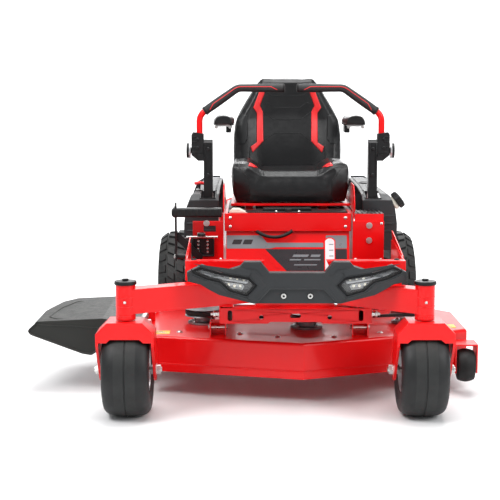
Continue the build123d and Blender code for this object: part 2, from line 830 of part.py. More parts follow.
with BuildPart() as seat_cushion:
    with BuildSketch(Plane.XZ.offset(-SEAT_Y[1])):
        with BuildLine():
            Polyline(
                (-SEAT_HALF + 12, SEAT_Z[0]),
                (-SEAT_HALF, 720),
                (-SEAT_HALF, 838),
                (-SEAT_HALF + 22, 852),
                (-190, 850),
                (-120, 812),
                (120, 812),
                (190, 850),
                (SEAT_HALF - 22, 852),
                (SEAT_HALF, 838),
                (SEAT_HALF, 720),
                (SEAT_HALF - 12, SEAT_Z[0]),
                close=True,
            )
        make_face()
    extrude(amount=SEAT_Y[1] - SEAT_Y[0])
save(seat_cushion, "seat_cushion")

with BuildPart() as seat_back:
    with BuildSketch(Plane(origin=(0, -165, 770), x_dir=(1, 0, 0), z_dir=(0, -1, 0.2))):
        with BuildLine():
            Polyline(
                (-236, 0),
                (-240, 90),
                (-236, 246),
                (-142, 404),
                (-114, 438),
                (114, 438),
                (142, 404),
                (236, 246),
                (240, 90),
                (236, 0),
                close=True,
            )
        make_face()
    extrude(amount=-96)
    fillet(seat_back.edges().filter_by(GeomType.LINE).group_by(Axis.Y)[0], 6)
save(seat_back, "seat_back")

for side in (-1, 1):
    with BuildPart() as armrest:
        with BuildSketch(Plane.XZ.offset(-ARMREST_PIVOT[0])):
            with Locations((side * ARMREST_X, ARMREST_PIVOT[1] + 15)):
                RectangleRounded(94, 52, 16)
        extrude(amount=290)
        add_rod((side * 219, *ARMREST_PIVOT), (side * 325, *ARMREST_PIVOT), 9)
        add_box(sorted((side * 244, side * 268)), (-205, -110), (955, 992))
    save(armrest, f"armrest_{side_name(side)}")

# ---- steering controls: an arm that rocks fore and aft, and a lap bar that swings out ----
for side in (-1, 1):
    name = side_name(side)
    with BuildPart() as control_arm:
        with BuildSketch(Plane.YZ.offset(side * CONTROL_X[0])):
            with BuildLine():
                Polyline(
                    (CONTROL_Y - 20, CONTROL_PIVOT_Z),
                    (CONTROL_Y - 26, 700),
                    (CONTROL_Y - 24, 930),
                    (CONTROL_Y - 12, 942),
                    (CONTROL_Y + 14, 942),
                    (CONTROL_Y + 22, 930),
                    (CONTROL_Y + 20, CONTROL_PIVOT_Z),
                    (CONTROL_Y, CONTROL_PIVOT_Z - 18),
                    close=True,
                )
            make_face()
        extrude(amount=side * (CONTROL_X[1] - CONTROL_X[0]))
        add_rod(
            (side * 300, CONTROL_Y, CONTROL_PIVOT_Z),
            (side * CONTROL_X[0], CONTROL_Y, CONTROL_PIVOT_Z),
            12,
        )
    save(control_arm, f"control_arm_{name}")

    with BuildPart() as bar_clamp:
        with BuildSketch(Plane.XZ.offset(-CONTROL_Y + 22)):
            with BuildLine():
                Polyline(
                    (side * 349.5, 868),
                    (side * 349.5, 966),
                    (side * 392, 972),
                    (side * 398, 962),
                    (side * 398, 880),
                    (side * 372, 858),
                    close=True,
                )
            make_face()
        extrude(amount=-44)
        add_rod((side * 398, CONTROL_Y, CLAMP_KNOB_Z), (side * 404, CONTROL_Y, CLAMP_KNOB_Z), 12)
        add_rod((side * 404, CONTROL_Y, CLAMP_KNOB_Z), (side * 418, CONTROL_Y, CLAMP_KNOB_Z), 30)
        add_rod(
            (side * CLAMP_PIVOT[0], CONTROL_Y - 34, CLAMP_PIVOT[1]),
            (side * CLAMP_PIVOT[0], CONTROL_Y - 27, CLAMP_PIVOT[1]),
            8,
        )
        add_box(
            sorted((side * CLAMP_PIVOT[0], side * 372)),
            (CONTROL_Y - 34, CONTROL_Y - 27),
            (858, 884),
        )
        add_box(sorted((side * 358, side * 372)), (CONTROL_Y - 27, CONTROL_Y - 20), (866, 884))
        add_rod(
            (side * BAR_X, CONTROL_Y, BAR_BOTTOM - 1),
            (side * BAR_X, CONTROL_Y, BAR_BOTTOM + 29),
            BAR_R,
            Mode.SUBTRACT,
        )
    save(bar_clamp, f"bar_clamp_{name}")

    with BuildPart() as lap_bar:
        with BuildLine():
            FilletPolyline(
                (side * BAR_X, CONTROL_Y, BAR_BOTTOM),
                (side * BAR_X, CONTROL_Y, BAR_SHOULDER),
                (side * GRIP_X[0], CONTROL_Y, GRIP_Z),
                (side * GRIP_X[1], CONTROL_Y, GRIP_Z),
                radius=48,
            )
        with BuildSketch(Plane(origin=(side * BAR_X, CONTROL_Y, BAR_BOTTOM), z_dir=(0, 0, 1))):
            Circle(BAR_R)
        sweep()
    save(lap_bar, f"lap_bar_{name}")

with BuildPart() as throttle_lever:
    add_box((THROTTLE_X - 3, THROTTLE_X + 3), (-446, -438), (733, 746))
    add_box((THROTTLE_X - 13, THROTTLE_X + 13), (-456, -428), (746, 760))
    add_rod((THROTTLE_X - 6, -442, 737), (THROTTLE_X + 6, -442, 737), 4.5)
save(throttle_lever, "throttle_lever")
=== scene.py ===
import math
import random

import bmesh
import bpy
from mathutils import Matrix, Vector
from mathutils.bvhtree import BVHTree


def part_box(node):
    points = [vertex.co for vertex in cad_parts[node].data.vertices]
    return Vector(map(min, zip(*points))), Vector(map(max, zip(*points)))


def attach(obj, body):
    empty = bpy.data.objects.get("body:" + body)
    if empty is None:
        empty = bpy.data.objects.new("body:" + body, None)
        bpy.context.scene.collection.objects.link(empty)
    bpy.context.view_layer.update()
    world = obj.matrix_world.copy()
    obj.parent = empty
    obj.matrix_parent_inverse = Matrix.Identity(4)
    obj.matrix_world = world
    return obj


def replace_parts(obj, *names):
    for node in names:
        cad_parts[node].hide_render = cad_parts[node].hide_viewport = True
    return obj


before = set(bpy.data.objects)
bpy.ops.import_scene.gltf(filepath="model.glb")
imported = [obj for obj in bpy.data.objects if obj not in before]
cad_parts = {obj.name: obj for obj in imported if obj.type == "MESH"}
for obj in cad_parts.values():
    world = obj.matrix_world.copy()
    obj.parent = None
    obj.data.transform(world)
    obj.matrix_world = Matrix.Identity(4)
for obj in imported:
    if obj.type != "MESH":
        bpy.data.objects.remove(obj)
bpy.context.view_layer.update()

MM = 0.001
SIDES = (("left", 1), ("right", -1))
CHASSIS = "chassis"


# ------------------------------------------------------------------ finishes
class Shade:
    """A small helper that adds and links nodes in one material."""

    def __init__(self, name):
        self.mat = bpy.data.materials.new(name)
        self.mat.use_nodes = True
        self.nodes = self.mat.node_tree.nodes
        self.shader = self.nodes["Principled BSDF"]
        self.coords = self.nodes.new("ShaderNodeTexCoord").outputs["Object"]

    def link(self, source, target):
        self.mat.node_tree.links.new(source, target)

    def noise(self, scale, detail=4.0, rough=0.55, stretch=None):
        vector = self.coords
        if stretch:
            mapping = self.nodes.new("ShaderNodeMapping")
            mapping.inputs["Scale"].default_value = stretch
            self.link(self.coords, mapping.inputs["Vector"])
            vector = mapping.outputs["Vector"]
        node = self.nodes.new("ShaderNodeTexNoise")
        node.inputs["Scale"].default_value = scale
        node.inputs["Detail"].default_value = detail
        node.inputs["Roughness"].default_value = rough
        self.link(vector, node.inputs["Vector"])
        return node.outputs["Fac"]

    def cells(self, scale):
        node = self.nodes.new("ShaderNodeTexVoronoi")
        node.inputs["Scale"].default_value = scale
        self.link(self.coords, node.inputs["Vector"])
        return node.outputs["Distance"]

    def spread(self, fac, low, high, from_low=0.3, from_high=0.7):
        node = self.nodes.new("ShaderNodeMapRange")
        node.inputs["From Min"].default_value = from_low
        node.inputs["From Max"].default_value = from_high
        node.inputs["To Min"].default_value = low
        node.inputs["To Max"].default_value = high
        self.link(fac, node.inputs["Value"])
        return node.outputs["Result"]

    def mix(self, fac, first, second):
        node = self.nodes.new("ShaderNodeMix")
        node.data_type = "RGBA"
        self.link(fac, node.inputs["Factor"])
        for socket, value in ((node.inputs[6], first), (node.inputs[7], second)):
            if isinstance(value, tuple):
                socket.default_value = (*value, 1)
            else:
                self.link(value, socket)
        return node.outputs[2]

    def math(self, kind, first, second):
        node = self.nodes.new("ShaderNodeMath")
        node.operation = kind
        for socket, value in ((node.inputs[0], first), (node.inputs[1], second)):
            if isinstance(value, (int, float)):
                socket.default_value = value
            else:
                self.link(value, socket)
        return node.outputs[0]

    def upward(self):
        """How far a surface faces up, from 0 to 1, for settled dust."""
        geometry = self.nodes.new("ShaderNodeNewGeometry")
        split = self.nodes.new("ShaderNodeSeparateXYZ")
        self.link(geometry.outputs["Normal"], split.inputs[0])
        return split.outputs["Z"]

    def bump(self, height, distance, strength=1.0):
        node = self.nodes.new("ShaderNodeBump")
        node.inputs["Distance"].default_value = distance
        node.inputs["Strength"].default_value = strength
        self.link(height, node.inputs["Height"])
        self.link(node.outputs["Normal"], self.shader.inputs["Normal"])

    def set(self, **values):
        for key, value in values.items():
            self.shader.inputs[key.replace("_", " ")].default_value = value


def tinted(color, factor):
    return tuple(min(1.0, c * factor) for c in color)


def make_finish(
    name, color, rough, metal=0.0, mottle=0.1, mottle_scale=7.0, rough_spread=0.06, grain=None,
    dust=0.0, coat=0.0, coat_rough=0.08, specular=0.5,
):
    """A finish with uneven colour and gloss, a grain and a little dust on what faces up."""
    shade = Shade(name)
    shade.set(
        Metallic=metal, Coat_Weight=coat, Coat_Roughness=coat_rough, Specular_IOR_Level=specular
    )
    clouds = shade.noise(mottle_scale)
    shade_color = shade.mix(
        shade.spread(clouds, 0, 1), tinted(color, 1 - mottle), tinted(color, 1 + mottle)
    )
    if dust:
        patchy = shade.spread(shade.noise(9, 4, 0.5), 0.2 * dust, dust, 0.35, 0.75)
        settled = shade.math("MULTIPLY", patchy, shade.spread(shade.upward(), 0.15, 1.0, 0.1, 0.9))
        shade_color = shade.mix(settled, shade_color, (0.34, 0.31, 0.27))
    shade.link(shade_color, shade.shader.inputs["Base Color"])
    streaks = shade.noise(38, 5, 0.6)
    shade.link(
        shade.spread(streaks, rough - rough_spread, rough + rough_spread),
        shade.shader.inputs["Roughness"],
    )
    if grain:
        kind, scale, depth = grain
        height = shade.cells(scale) if kind == "cells" else shade.noise(scale, 3)
        shade.bump(height, depth)
    return shade.mat


def make_knurl(name, color, rough, scale, depth):
    """Crossed diagonal ridges, as on a moulded grip."""
    shade = Shade(name)
    heights = []
    for stretch in ((1, 0.2, 1), (-1, 0.2, 1)):
        mapping = shade.nodes.new("ShaderNodeMapping")
        mapping.inputs["Rotation"].default_value = (0, stretch[0] * math.radians(45), 0)
        shade.link(shade.coords, mapping.inputs["Vector"])
        wave = shade.nodes.new("ShaderNodeTexWave")
        wave.inputs["Scale"].default_value = scale
        shade.link(mapping.outputs["Vector"], wave.inputs["Vector"])
        heights.append(wave.outputs["Fac"])
    shade.bump(shade.math("MULTIPLY", heights[0], heights[1]), depth)
    shade.link(
        shade.mix(shade.spread(shade.noise(40), 0, 1), tinted(color, 0.8), tinted(color, 1.3)),
        shade.shader.inputs["Base Color"],
    )
    shade.link(
        shade.spread(shade.noise(90), rough - 0.06, rough + 0.06), shade.shader.inputs["Roughness"]
    )
    return shade.mat


def make_lens():
    shade = Shade("clear_lens")
    shade.set(Transmission_Weight=1.0, IOR=1.49, Coat_Weight=0.4)
    shade.link(
        shade.mix(shade.spread(shade.noise(30), 0, 1), (0.93, 0.95, 0.96), (1.0, 1.0, 1.0)),
        shade.shader.inputs["Base Color"],
    )
    shade.link(shade.spread(shade.noise(60), 0.01, 0.06), shade.shader.inputs["Roughness"])
    return shade.mat


def make_lamp_chip():
    shade = Shade("led_chip")
    shade.set(Emission_Strength=0.55)
    glow = shade.mix(
        shade.spread(shade.cells(260), 0, 1, 0.0, 0.6), (1.0, 0.82, 0.42), (1.0, 0.97, 0.88)
    )
    shade.link(glow, shade.shader.inputs["Emission Color"])
    shade.link(glow, shade.shader.inputs["Base Color"])
    return shade.mat


RED = make_finish(
    "red_powder_coat", (0.74, 0.0035, 0.0045), 0.30, mottle=0.03, mottle_scale=3,
    rough_spread=0.012, grain=("noise", 420, 0.00005), coat=0.22, coat_rough=0.08, specular=0.22,
)
DARK = make_finish(
    "dark_moulding", (0.021, 0.023, 0.025), 0.48, mottle=0.10, grain=("cells", 1300, 0.00012),
    dust=0.03, specular=0.35,
)
BLACK = make_finish(
    "black_moulding", (0.006, 0.006, 0.0065), 0.44, mottle=0.16, grain=("cells", 1500, 0.00010),
    dust=0.02, specular=0.30,
)
CHUTE = make_finish(
    "chute_moulding", (0.017, 0.018, 0.016), 0.50, mottle=0.14, mottle_scale=4,
    grain=("cells", 900, 0.00012), dust=0.04, specular=0.30,
)
SATIN = make_finish(
    "black_powder_coat", (0.006, 0.006, 0.0065), 0.36, mottle=0.10, grain=("noise", 600, 0.00010),
    coat=0.1, coat_rough=0.2, specular=0.30,
)
TYRE = make_finish(
    "tyre_rubber", (0.015, 0.016, 0.016), 0.58, mottle=0.20, mottle_scale=14,
    grain=("noise", 700, 0.00016), dust=0.05, specular=0.35,
)
TYRE_BAND = make_finish(
    "tyre_shoulder_rubber", (0.0075, 0.008, 0.0085), 0.50, mottle=0.18,
    grain=("noise", 800, 0.00012), dust=0.02, specular=0.35,
)
RUBBER = make_finish(
    "moulded_rubber", (0.007, 0.007, 0.007), 0.60, mottle=0.2, grain=("noise", 900, 0.00012),
    dust=0.02, specular=0.3,
)
ZINC = make_finish(
    "zinc_plate", (0.62, 0.62, 0.60), 0.30, metal=1.0, mottle=0.12, mottle_scale=60,
    rough_spread=0.1, grain=("noise", 1400, 0.00005),
)
STEEL = make_finish(
    "bare_steel", (0.30, 0.30, 0.31), 0.38, metal=1.0, mottle=0.2, mottle_scale=40,
    rough_spread=0.1, grain=("noise", 900, 0.00006),
)
SILVER = make_finish(
    "silver_paint", (0.55, 0.55, 0.56), 0.34, metal=0.75, mottle=0.06,
    grain=("cells", 2400, 0.00003), coat=0.3,
)
ALLOY = make_finish(
    "cast_alloy", (0.30, 0.30, 0.31), 0.48, metal=0.9, mottle=0.14, mottle_scale=30,
    grain=("noise", 500, 0.00025), dust=0.04,
)
VINYL = make_finish(
    "black_vinyl", (0.0042, 0.0042, 0.0046), 0.34, mottle=0.14, mottle_scale=12,
    grain=("cells", 620, 0.00016), specular=0.42,
)
VINYL_SOFT = make_finish(
    "black_vinyl_panel", (0.0075, 0.008, 0.0085), 0.46, mottle=0.12, grain=("cells", 900, 0.00012),
    specular=0.35,
)
VINYL_RED = make_finish(
    "red_vinyl", (0.72, 0.014, 0.016), 0.42, mottle=0.06, mottle_scale=20,
    grain=("cells", 700, 0.00014),
)
CREAM = make_finish(
    "cream_tank_moulding", (0.66, 0.63, 0.54), 0.45, mottle=0.06, grain=("noise", 300, 0.0002)
)
DECAL_GREY = make_finish(
    "grey_decal", (0.22, 0.235, 0.25), 0.32, metal=0.2, mottle=0.05, coat=0.5,
    grain=("cells", 2000, 0.00002),
)
DECAL_DARK = make_finish(
    "dark_decal", (0.022, 0.016, 0.019), 0.30, mottle=0.08, coat=0.4, grain=("cells", 2000, 0.00002)
)
DECAL_WHITE = make_finish(
    "white_sight_strip", (0.80, 0.81, 0.82), 0.35, mottle=0.08, mottle_scale=16,
    grain=("noise", 500, 0.00004),
)
LABEL = make_finish(
    "yellow_label", (0.80, 0.52, 0.02), 0.4, mottle=0.08, grain=("noise", 800, 0.00003)
)
RED_LINE = make_finish(
    "red_rubber_line", (0.72, 0.010, 0.013), 0.45, mottle=0.06, grain=("noise", 900, 0.00005)
)
GRIP = make_knurl("knurled_grip", (0.0065, 0.0065, 0.007), 0.50, 95, 0.0006)
LENS = make_lens()
CHIP = make_lamp_chip()


# ------------------------------------------------------------------ mesh helpers
def add_piece(name, mesh, finish, body, smooth=True):
    """Puts a mesh into the scene as one piece with its finish, slot and body."""
    piece = bpy.data.objects.new(name, mesh)
    bpy.context.collection.objects.link(piece)
    mesh.materials.append(finish)
    if smooth:
        mesh.shade_smooth()
        mesh.set_sharp_from_angle(angle=math.radians(35))
    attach(piece, body)
    return piece


def from_bmesh(name, work, finish, body, smooth=True):
    bmesh.ops.recalc_face_normals(work, faces=work.faces)
    mesh = bpy.data.meshes.new(name)
    work.to_mesh(mesh)
    work.free()
    return add_piece(name, mesh, finish, body, smooth)


def apply_modifiers(piece):
    depsgraph = bpy.context.evaluated_depsgraph_get()
    mesh = bpy.data.meshes.new_from_object(piece.evaluated_get(depsgraph))
    piece.modifiers.clear()
    old = piece.data
    piece.data = mesh
    bpy.data.meshes.remove(old)


def soften(piece, width=1.5 * MM, segments=2, angle=32):
    """Rounds the sharp edges, as a press brake or a mould does."""
    bevel = piece.modifiers.new("soft_edges", "BEVEL")
    bevel.width = width
    bevel.segments = segments
    bevel.limit_method = "ANGLE"
    bevel.angle_limit = math.radians(angle)
    bevel.harden_normals = False
    normals = piece.modifiers.new("face_normals", "WEIGHTED_NORMAL")
    normals.keep_sharp = True
    return piece


def add_block(name, low, high, finish, body, width=1.5 * MM, turn=None):
    """A box with rounded edges; turn is a matrix about the box's middle."""
    work = bmesh.new()
    bmesh.ops.create_cube(work, size=1)
    low, high = Vector(low), Vector(high)
    middle = (low + high) / 2
    for vert in work.verts:
        offset = Vector(c * s for c, s in zip(vert.co, high - low))
        vert.co = middle + (turn @ offset if turn else offset)
    return soften(from_bmesh(name, work, finish, body), width)


def rotate_to(axis):
    return Vector((0, 0, 1)).rotation_difference(Vector(axis).normalized()).to_matrix()


def bridge(work, rings, closed=False):
    """Skins neighbouring rings of vertices with four-sided faces."""
    pairs = list(zip(rings, rings[1:]))
    if closed:
        pairs.append((rings[-1], rings[0]))
    for first, second in pairs:
        for step in range(len(first)):
            after = (step + 1) % len(first)
            work.faces.new((first[step], first[after], second[after], second[step]))


def close_off(work, rings):
    work.faces.new(rings[0][::-1])
    work.faces.new(rings[-1])


def add_lathe(name, profile, origin, axis, finish, body, steps=48, closed=False):
    """Turns (along, radius) points about an axis through origin."""
    turn = rotate_to(axis)
    origin = Vector(origin)
    work = bmesh.new()
    rings = []
    for along, radius in profile:
        ring = []
        for step in range(steps):
            angle = 2 * math.pi * step / steps
            local = Vector((radius * math.cos(angle), radius * math.sin(angle), along))
            ring.append(work.verts.new(origin + turn @ local))
        rings.append(ring)
    bridge(work, rings, closed)
    if not closed:
        close_off(work, rings)
    bmesh.ops.remove_doubles(work, verts=work.verts, dist=1e-6)
    return from_bmesh(name, work, finish, body)


def add_tube(name, points, radius, finish, body, sides=12, cyclic=False):
    """A round section carried along points, with a steady frame."""
    points = [Vector(p) for p in points]
    work = bmesh.new()
    rings = []
    count = len(points)
    normal = None
    for index, point in enumerate(points):
        before = points[index - 1] if index or cyclic else point
        after = points[(index + 1) % count] if index + 1 < count or cyclic else point
        tangent = (after - before).normalized()
        if normal is None:
            normal = tangent.orthogonal().normalized()
        normal = (normal - tangent * normal.dot(tangent)).normalized()
        side = tangent.cross(normal)
        size = radius(index / (count - 1)) if callable(radius) else radius
        rings.append([
            work.verts.new(point + size * (math.cos(a) * normal + math.sin(a) * side))
            for a in (2 * math.pi * s / sides for s in range(sides))
        ])
    bridge(work, rings, cyclic)
    if not cyclic:
        close_off(work, rings)
    return from_bmesh(name, work, finish, body)


def rounded_path(points, radius, steps=8):
    """Straight runs joined by tangent arcs."""
    points = [Vector(p) for p in points]
    path = [points[0]]
    for before, corner, after in zip(points, points[1:], points[2:]):
        first = (before - corner).normalized()
        second = (after - corner).normalized()
        half = first.angle(second) / 2
        reach = radius / math.tan(half)
        centre = corner + (first + second).normalized() * radius / math.sin(half)
        start = (corner + first * reach - centre).normalized()
        end = (corner + second * reach - centre).normalized()
        for step in range(steps + 1):
            path.append(centre + start.slerp(end, step / steps) * radius)
    path.append(points[-1])
    return path


def add_prism(name, outline, to_world, depth, finish, body, width=1.0 * MM):
    """An outline of 2-D points, placed by to_world(u, v, w) and given a depth along w."""
    work = bmesh.new()
    front = [work.verts.new(to_world(u, v, 0)) for u, v in outline]
    back = [work.verts.new(to_world(u, v, depth)) for u, v in outline]
    work.faces.new(front)
    work.faces.new(back[::-1])
    count = len(outline)
    for index in range(count):
        after = (index + 1) % count
        work.faces.new((front[after], front[index], back[index], back[after]))
    piece = from_bmesh(name, work, finish, body)
    return soften(piece, width) if width else piece


def joined(name, pieces, finish, body):
    """Several pieces of one finish as one piece."""
    work = bmesh.new()
    depsgraph = bpy.context.evaluated_depsgraph_get()
    for piece in pieces:
        shown = piece.evaluated_get(depsgraph)
        work.from_mesh(shown.to_mesh())
        shown.to_mesh_clear()
    for piece in pieces:
        mesh = piece.data
        bpy.data.objects.remove(piece)
        bpy.data.meshes.remove(mesh)
    mesh = bpy.data.meshes.new(name)
    work.to_mesh(mesh)
    work.free()
    return add_piece(name, mesh, finish, body)


def make_bolt_head(name, at, facing, radius, body, finish=ZINC, height=6.0):
    """A domed head on a flange, its socket left as a dish."""
    profile = (
        (0, radius * 1.18), (1.2, radius * 1.2), (1.8, radius), (height * 0.55, radius * 0.94),
        (height * 0.9, radius * 0.66), (height, radius * 0.45), (height - 1.8, radius * 0.4),
        (height - 2.0, radius * 0.1),
    )
    return add_lathe(name, [(a * MM, r * MM) for a, r in profile], at, facing, finish, body, 28)


def add_bolts(name, spots, facing, radius, body, height=6.0):
    """Equal zinc bolt heads as one piece."""
    heads = [
        make_bolt_head(f"head_{spot}", spot, facing, radius, body, ZINC, height)
        for spot in spots
    ]
    return joined(name, heads, ZINC, body)


def add_turned(name, profile, origin, axis, finish, body, steps=48):
    """A lathe piece whose (along, radius) points are in millimetres."""
    return add_lathe(
        name, [(a * MM, r * MM) for a, r in profile], origin, axis, finish, body, steps
    )


def add_boxes(name, boxes, finish, body, width):
    """Rounded boxes as one piece."""
    parts = [
        add_block(f"box_{index}", low, high, finish, body, width)
        for index, (low, high) in enumerate(boxes)
    ]
    return joined(name, parts, finish, body)


def mirrored_box(sign, x_range, y_range, z_range):
    """A box's two corners, on the side given by sign."""
    ends = sorted(sign * x for x in x_range)
    return tuple(zip(ends, y_range, z_range))


def middle_of(node):
    low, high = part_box(node)
    return (Vector(low) + Vector(high)) / 2


# ------------------------------------------------------------------ CAD nodes
CAD_FINISH = {
    RED: (
        "frame_rail_left", "frame_rail_right", "front_rail", "caster_arm_left", "caster_arm_right",
        "foot_platform", "centre_panel", "upper_panel", "side_panel_left", "side_panel_right",
        "engine_frame", "deck_shell", "deck_brackets", "caster_fork_left", "caster_fork_right",
        "seat_base", "lap_bar_left", "lap_bar_right",
    ),
    DARK: ("front_bumper", "fender_left", "fender_right"),
    BLACK: (
        "fuel_cap", "engine_cover", "caster_cap_left", "caster_cap_right", "bar_clamp_left",
        "bar_clamp_right", "throttle_lever",
    ),
    CHUTE: ("discharge_chute",),
    SATIN: ("height_plate", "lift_pedal", "control_arm_left", "control_arm_right"),
    CREAM: ("fuel_neck",),
    ZINC: ("panel_bolts", "height_pin", "caster_axle_left", "caster_axle_right"),
    STEEL: ("blade_right", "blade_centre", "blade_left"),
    SILVER: ("caster_rim_left", "caster_rim_right", "rear_rim_left", "rear_rim_right"),
    ALLOY: ("transaxles", "engine_block", "spindle_housings"),
    RUBBER: ("drive_belt", "panel_hose", "deck_roller"),
}
ROUND_NODES = (
    "panel_hose", "drive_belt", "deck_roller", "height_pin", "fuel_neck", "fuel_cap",
    "caster_rim_left", "caster_rim_right", "rear_rim_left", "rear_rim_right", "lap_bar_left",
    "lap_bar_right", "panel_bolts",
)


def finish_cad_nodes():
    for finish, names in CAD_FINISH.items():
        for name in names:
            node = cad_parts[name]
            if not node.material_slots:
                node.data.materials.append(finish)
            for slot in node.material_slots:
                slot.material = finish
            if name not in ROUND_NODES:
                weld = node.modifiers.new("weld", "WELD")
                weld.merge_threshold = 0.02 * MM
                soften(node, 1.6 * MM)


finish_cad_nodes()


# ------------------------------------------------------------------ tyres
def crown_radius(share, radius, wide):
    """Radius of a squarish tyre at a share of its half width."""
    return wide + (radius - wide) * max(0.0, 1 - min(1.0, abs(share)) ** 2.7) ** 0.32


def tyre_sizes(name):
    """Half width, outer radius, radius of the widest line, and rim radius, in metres."""
    low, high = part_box(f"{name.replace('rim', 'tyre')}")
    rim_low, rim_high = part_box(name)
    radius = (high[2] - low[2]) / 2
    return (high[0] - low[0]) / 2, radius, radius * 0.74, (rim_high[2] - rim_low[2]) / 2


def crown_points(half, radius, wide, sink=0.0, groove=None):
    """(across, radius) points from one widest line over the tread to the other."""
    points = []
    for step in range(101):
        share = math.sin(math.pi * (0.5 - step / 100))
        height = crown_radius(share, radius, wide)
        height -= sink * min(1.0, (height - wide) / (14 * MM))
        points.append((share * half, height))
    if groove:
        width, depth = groove
        points = [p for p in points if abs(p[0]) > width * 1.9]
        cut = [
            (width * 1.8, radius), (width, radius - depth), (-width, radius - depth),
            (-width * 1.8, radius),
        ]
        split = sum(1 for p in points if p[0] > 0)
        points[split:split] = cut
    return points


def tyre_wall(half, radius, wide, rim):
    """The sidewall from the widest line down to the bead, with a raised rib."""
    return [
        (half * 0.995, wide - radius * 0.04), (half * 1.0, wide - radius * 0.06),
        (half * 0.985, wide - radius * 0.075), (half * 0.955, wide - (wide - rim) * 0.5),
        (half * 0.925, rim + 9 * MM), (half * 0.915, rim + 2 * MM),
    ]


def make_caster_tyre(name, body):
    half, radius, wide, rim = tyre_sizes(f"caster_rim_{name}")
    wall = tyre_wall(half, radius, wide, rim)
    profile = wall[::-1] + crown_points(half, radius, wide, groove=(1.6 * MM, 2.6 * MM))
    profile += [(-a, r) for a, r in wall]
    centre = middle_of(f"caster_tyre_{name}")
    tyre = add_lathe(
        f"ribbed_caster_tyre_{name}", profile, centre, (1, 0, 0), TYRE, body, 128, closed=True
    )
    tyre.data.materials.append(TYRE_BAND)
    for face in tyre.data.polygons:
        if abs(face.center.x - centre.x) > half * 0.46:
            face.material_index = 1
    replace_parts(tyre, f"caster_tyre_{name}")
    rng = random.Random(7 if name == "left" else 11)
    nubs = bmesh.new()
    for index in range(34):
        angle = 2 * math.pi * index / 34 + rng.uniform(-0.05, 0.05)
        share = rng.choice((-0.62, -0.25, 0.28, 0.6))
        reach = crown_radius(share, radius, wide)
        spot = centre + Vector((share * half, reach * math.cos(angle), reach * math.sin(angle)))
        size = rng.uniform(0.8, 1.4) * MM
        bmesh.ops.create_icosphere(
            nubs, subdivisions=1, radius=size, matrix=Matrix.Translation(spot)
        )
    from_bmesh(f"mould_nubs_{name}", nubs, TYRE_BAND, body)


LUG_ROWS = (
    (0.02, 0.30, 0.10, 0.0), (-0.30, -0.02, -0.10, 0.5), (0.36, 0.64, 0.16, 0.5),
    (-0.64, -0.36, -0.16, 0.0), (0.69, 0.965, 0.0, 0.0), (-0.965, -0.69, 0.0, 0.5),
)


def make_rear_tyre(name, body):
    """A turf tyre: a smooth carcass with rows of staggered chunky lugs."""
    half, radius, wide, rim = tyre_sizes(f"rear_rim_{name}")
    half *= 0.985
    lug = 10 * MM
    wall = tyre_wall(half, radius, wide, rim)
    profile = wall[::-1] + crown_points(half, radius, wide, sink=lug) + [(-a, r) for a, r in wall]
    centre = middle_of(f"rear_tyre_{name}")
    carcass = add_lathe(
        f"turf_tyre_{name}", profile, centre, (1, 0, 0), TYRE, body, 144, closed=True
    )
    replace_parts(carcass, f"rear_tyre_{name}")
    work = bmesh.new()
    pitch = 2 * math.pi / 26
    for low, high, skew, shift in LUG_ROWS:
        middle = (low + high) / 2
        for index in range(26):
            base = (index + shift) * pitch
            corners = [
                (share, base + pitch * (along * 0.31 + skew * (share - middle) * 8))
                for share, along in ((low, -1), (high, -1), (high, 1), (low, 1))
            ]
            rings = []
            for sink, shrink in ((-lug * 1.3, 1.0), (-lug * 0.15, 0.93), (0.0, 0.84)):
                ring = []
                for share, theta in corners:
                    share = middle + (share - middle) * shrink
                    theta = base + (theta - base) * shrink
                    reach = crown_radius(share, radius, wide) + sink
                    ring.append(work.verts.new(centre + Vector(
                        (share * half, reach * math.sin(theta), reach * math.cos(theta))
                    )))
                rings.append(ring)
            bridge(work, rings)
            work.faces.new(rings[-1])
            work.faces.new(rings[0][::-1])
    lugs = from_bmesh(f"turf_lugs_{name}", work, TYRE, body, smooth=False)
    soften(lugs, 1.2 * MM)


def make_rear_hub(name, sign, body):
    """Lug nuts and hub cap on a drive wheel's outer face."""
    low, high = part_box(f"rear_rim_{name}")
    centre = middle_of(f"rear_rim_{name}")
    nuts = []
    for index in range(5):
        angle = 2 * math.pi * index / 5 + 0.3
        spot = centre + Vector((0, 58 * MM * math.cos(angle), 58 * MM * math.sin(angle)))
        disc = sign * (high[0] - low[0]) * 0.5 / 0.9 * (0.3 if sign > 0 else 0.16)
        spot.x += disc
        profile = (
            (-3 * MM, 11 * MM), (9 * MM, 11 * MM), (13 * MM, 8 * MM), (17 * MM, 6 * MM),
            (18 * MM, 3 * MM),
        )
        nuts.append(add_lathe(f"nut_{index}", profile, spot, (sign, 0, 0), ZINC, body, 6))
    joined(f"wheel_nuts_{name}", nuts, ZINC, body)
    cap = centre + Vector((sign * (high[0] - low[0]) * 0.5 * 0.60, 0, 0))
    profile = (
        (-6 * MM, 30 * MM), (4 * MM, 30 * MM), (9 * MM, 26 * MM), (12 * MM, 15 * MM),
        (12.5 * MM, 2 * MM),
    )
    add_lathe(f"hub_cap_{name}", profile, cap, (sign, 0, 0), BLACK, body, 40)


for side_name, side_sign in SIDES:
    make_caster_tyre(side_name, f"caster_wheel_{side_name}")
    make_rear_tyre(side_name, f"rear_wheel_{side_name}")
    make_rear_hub(side_name, side_sign, f"rear_wheel_{side_name}")


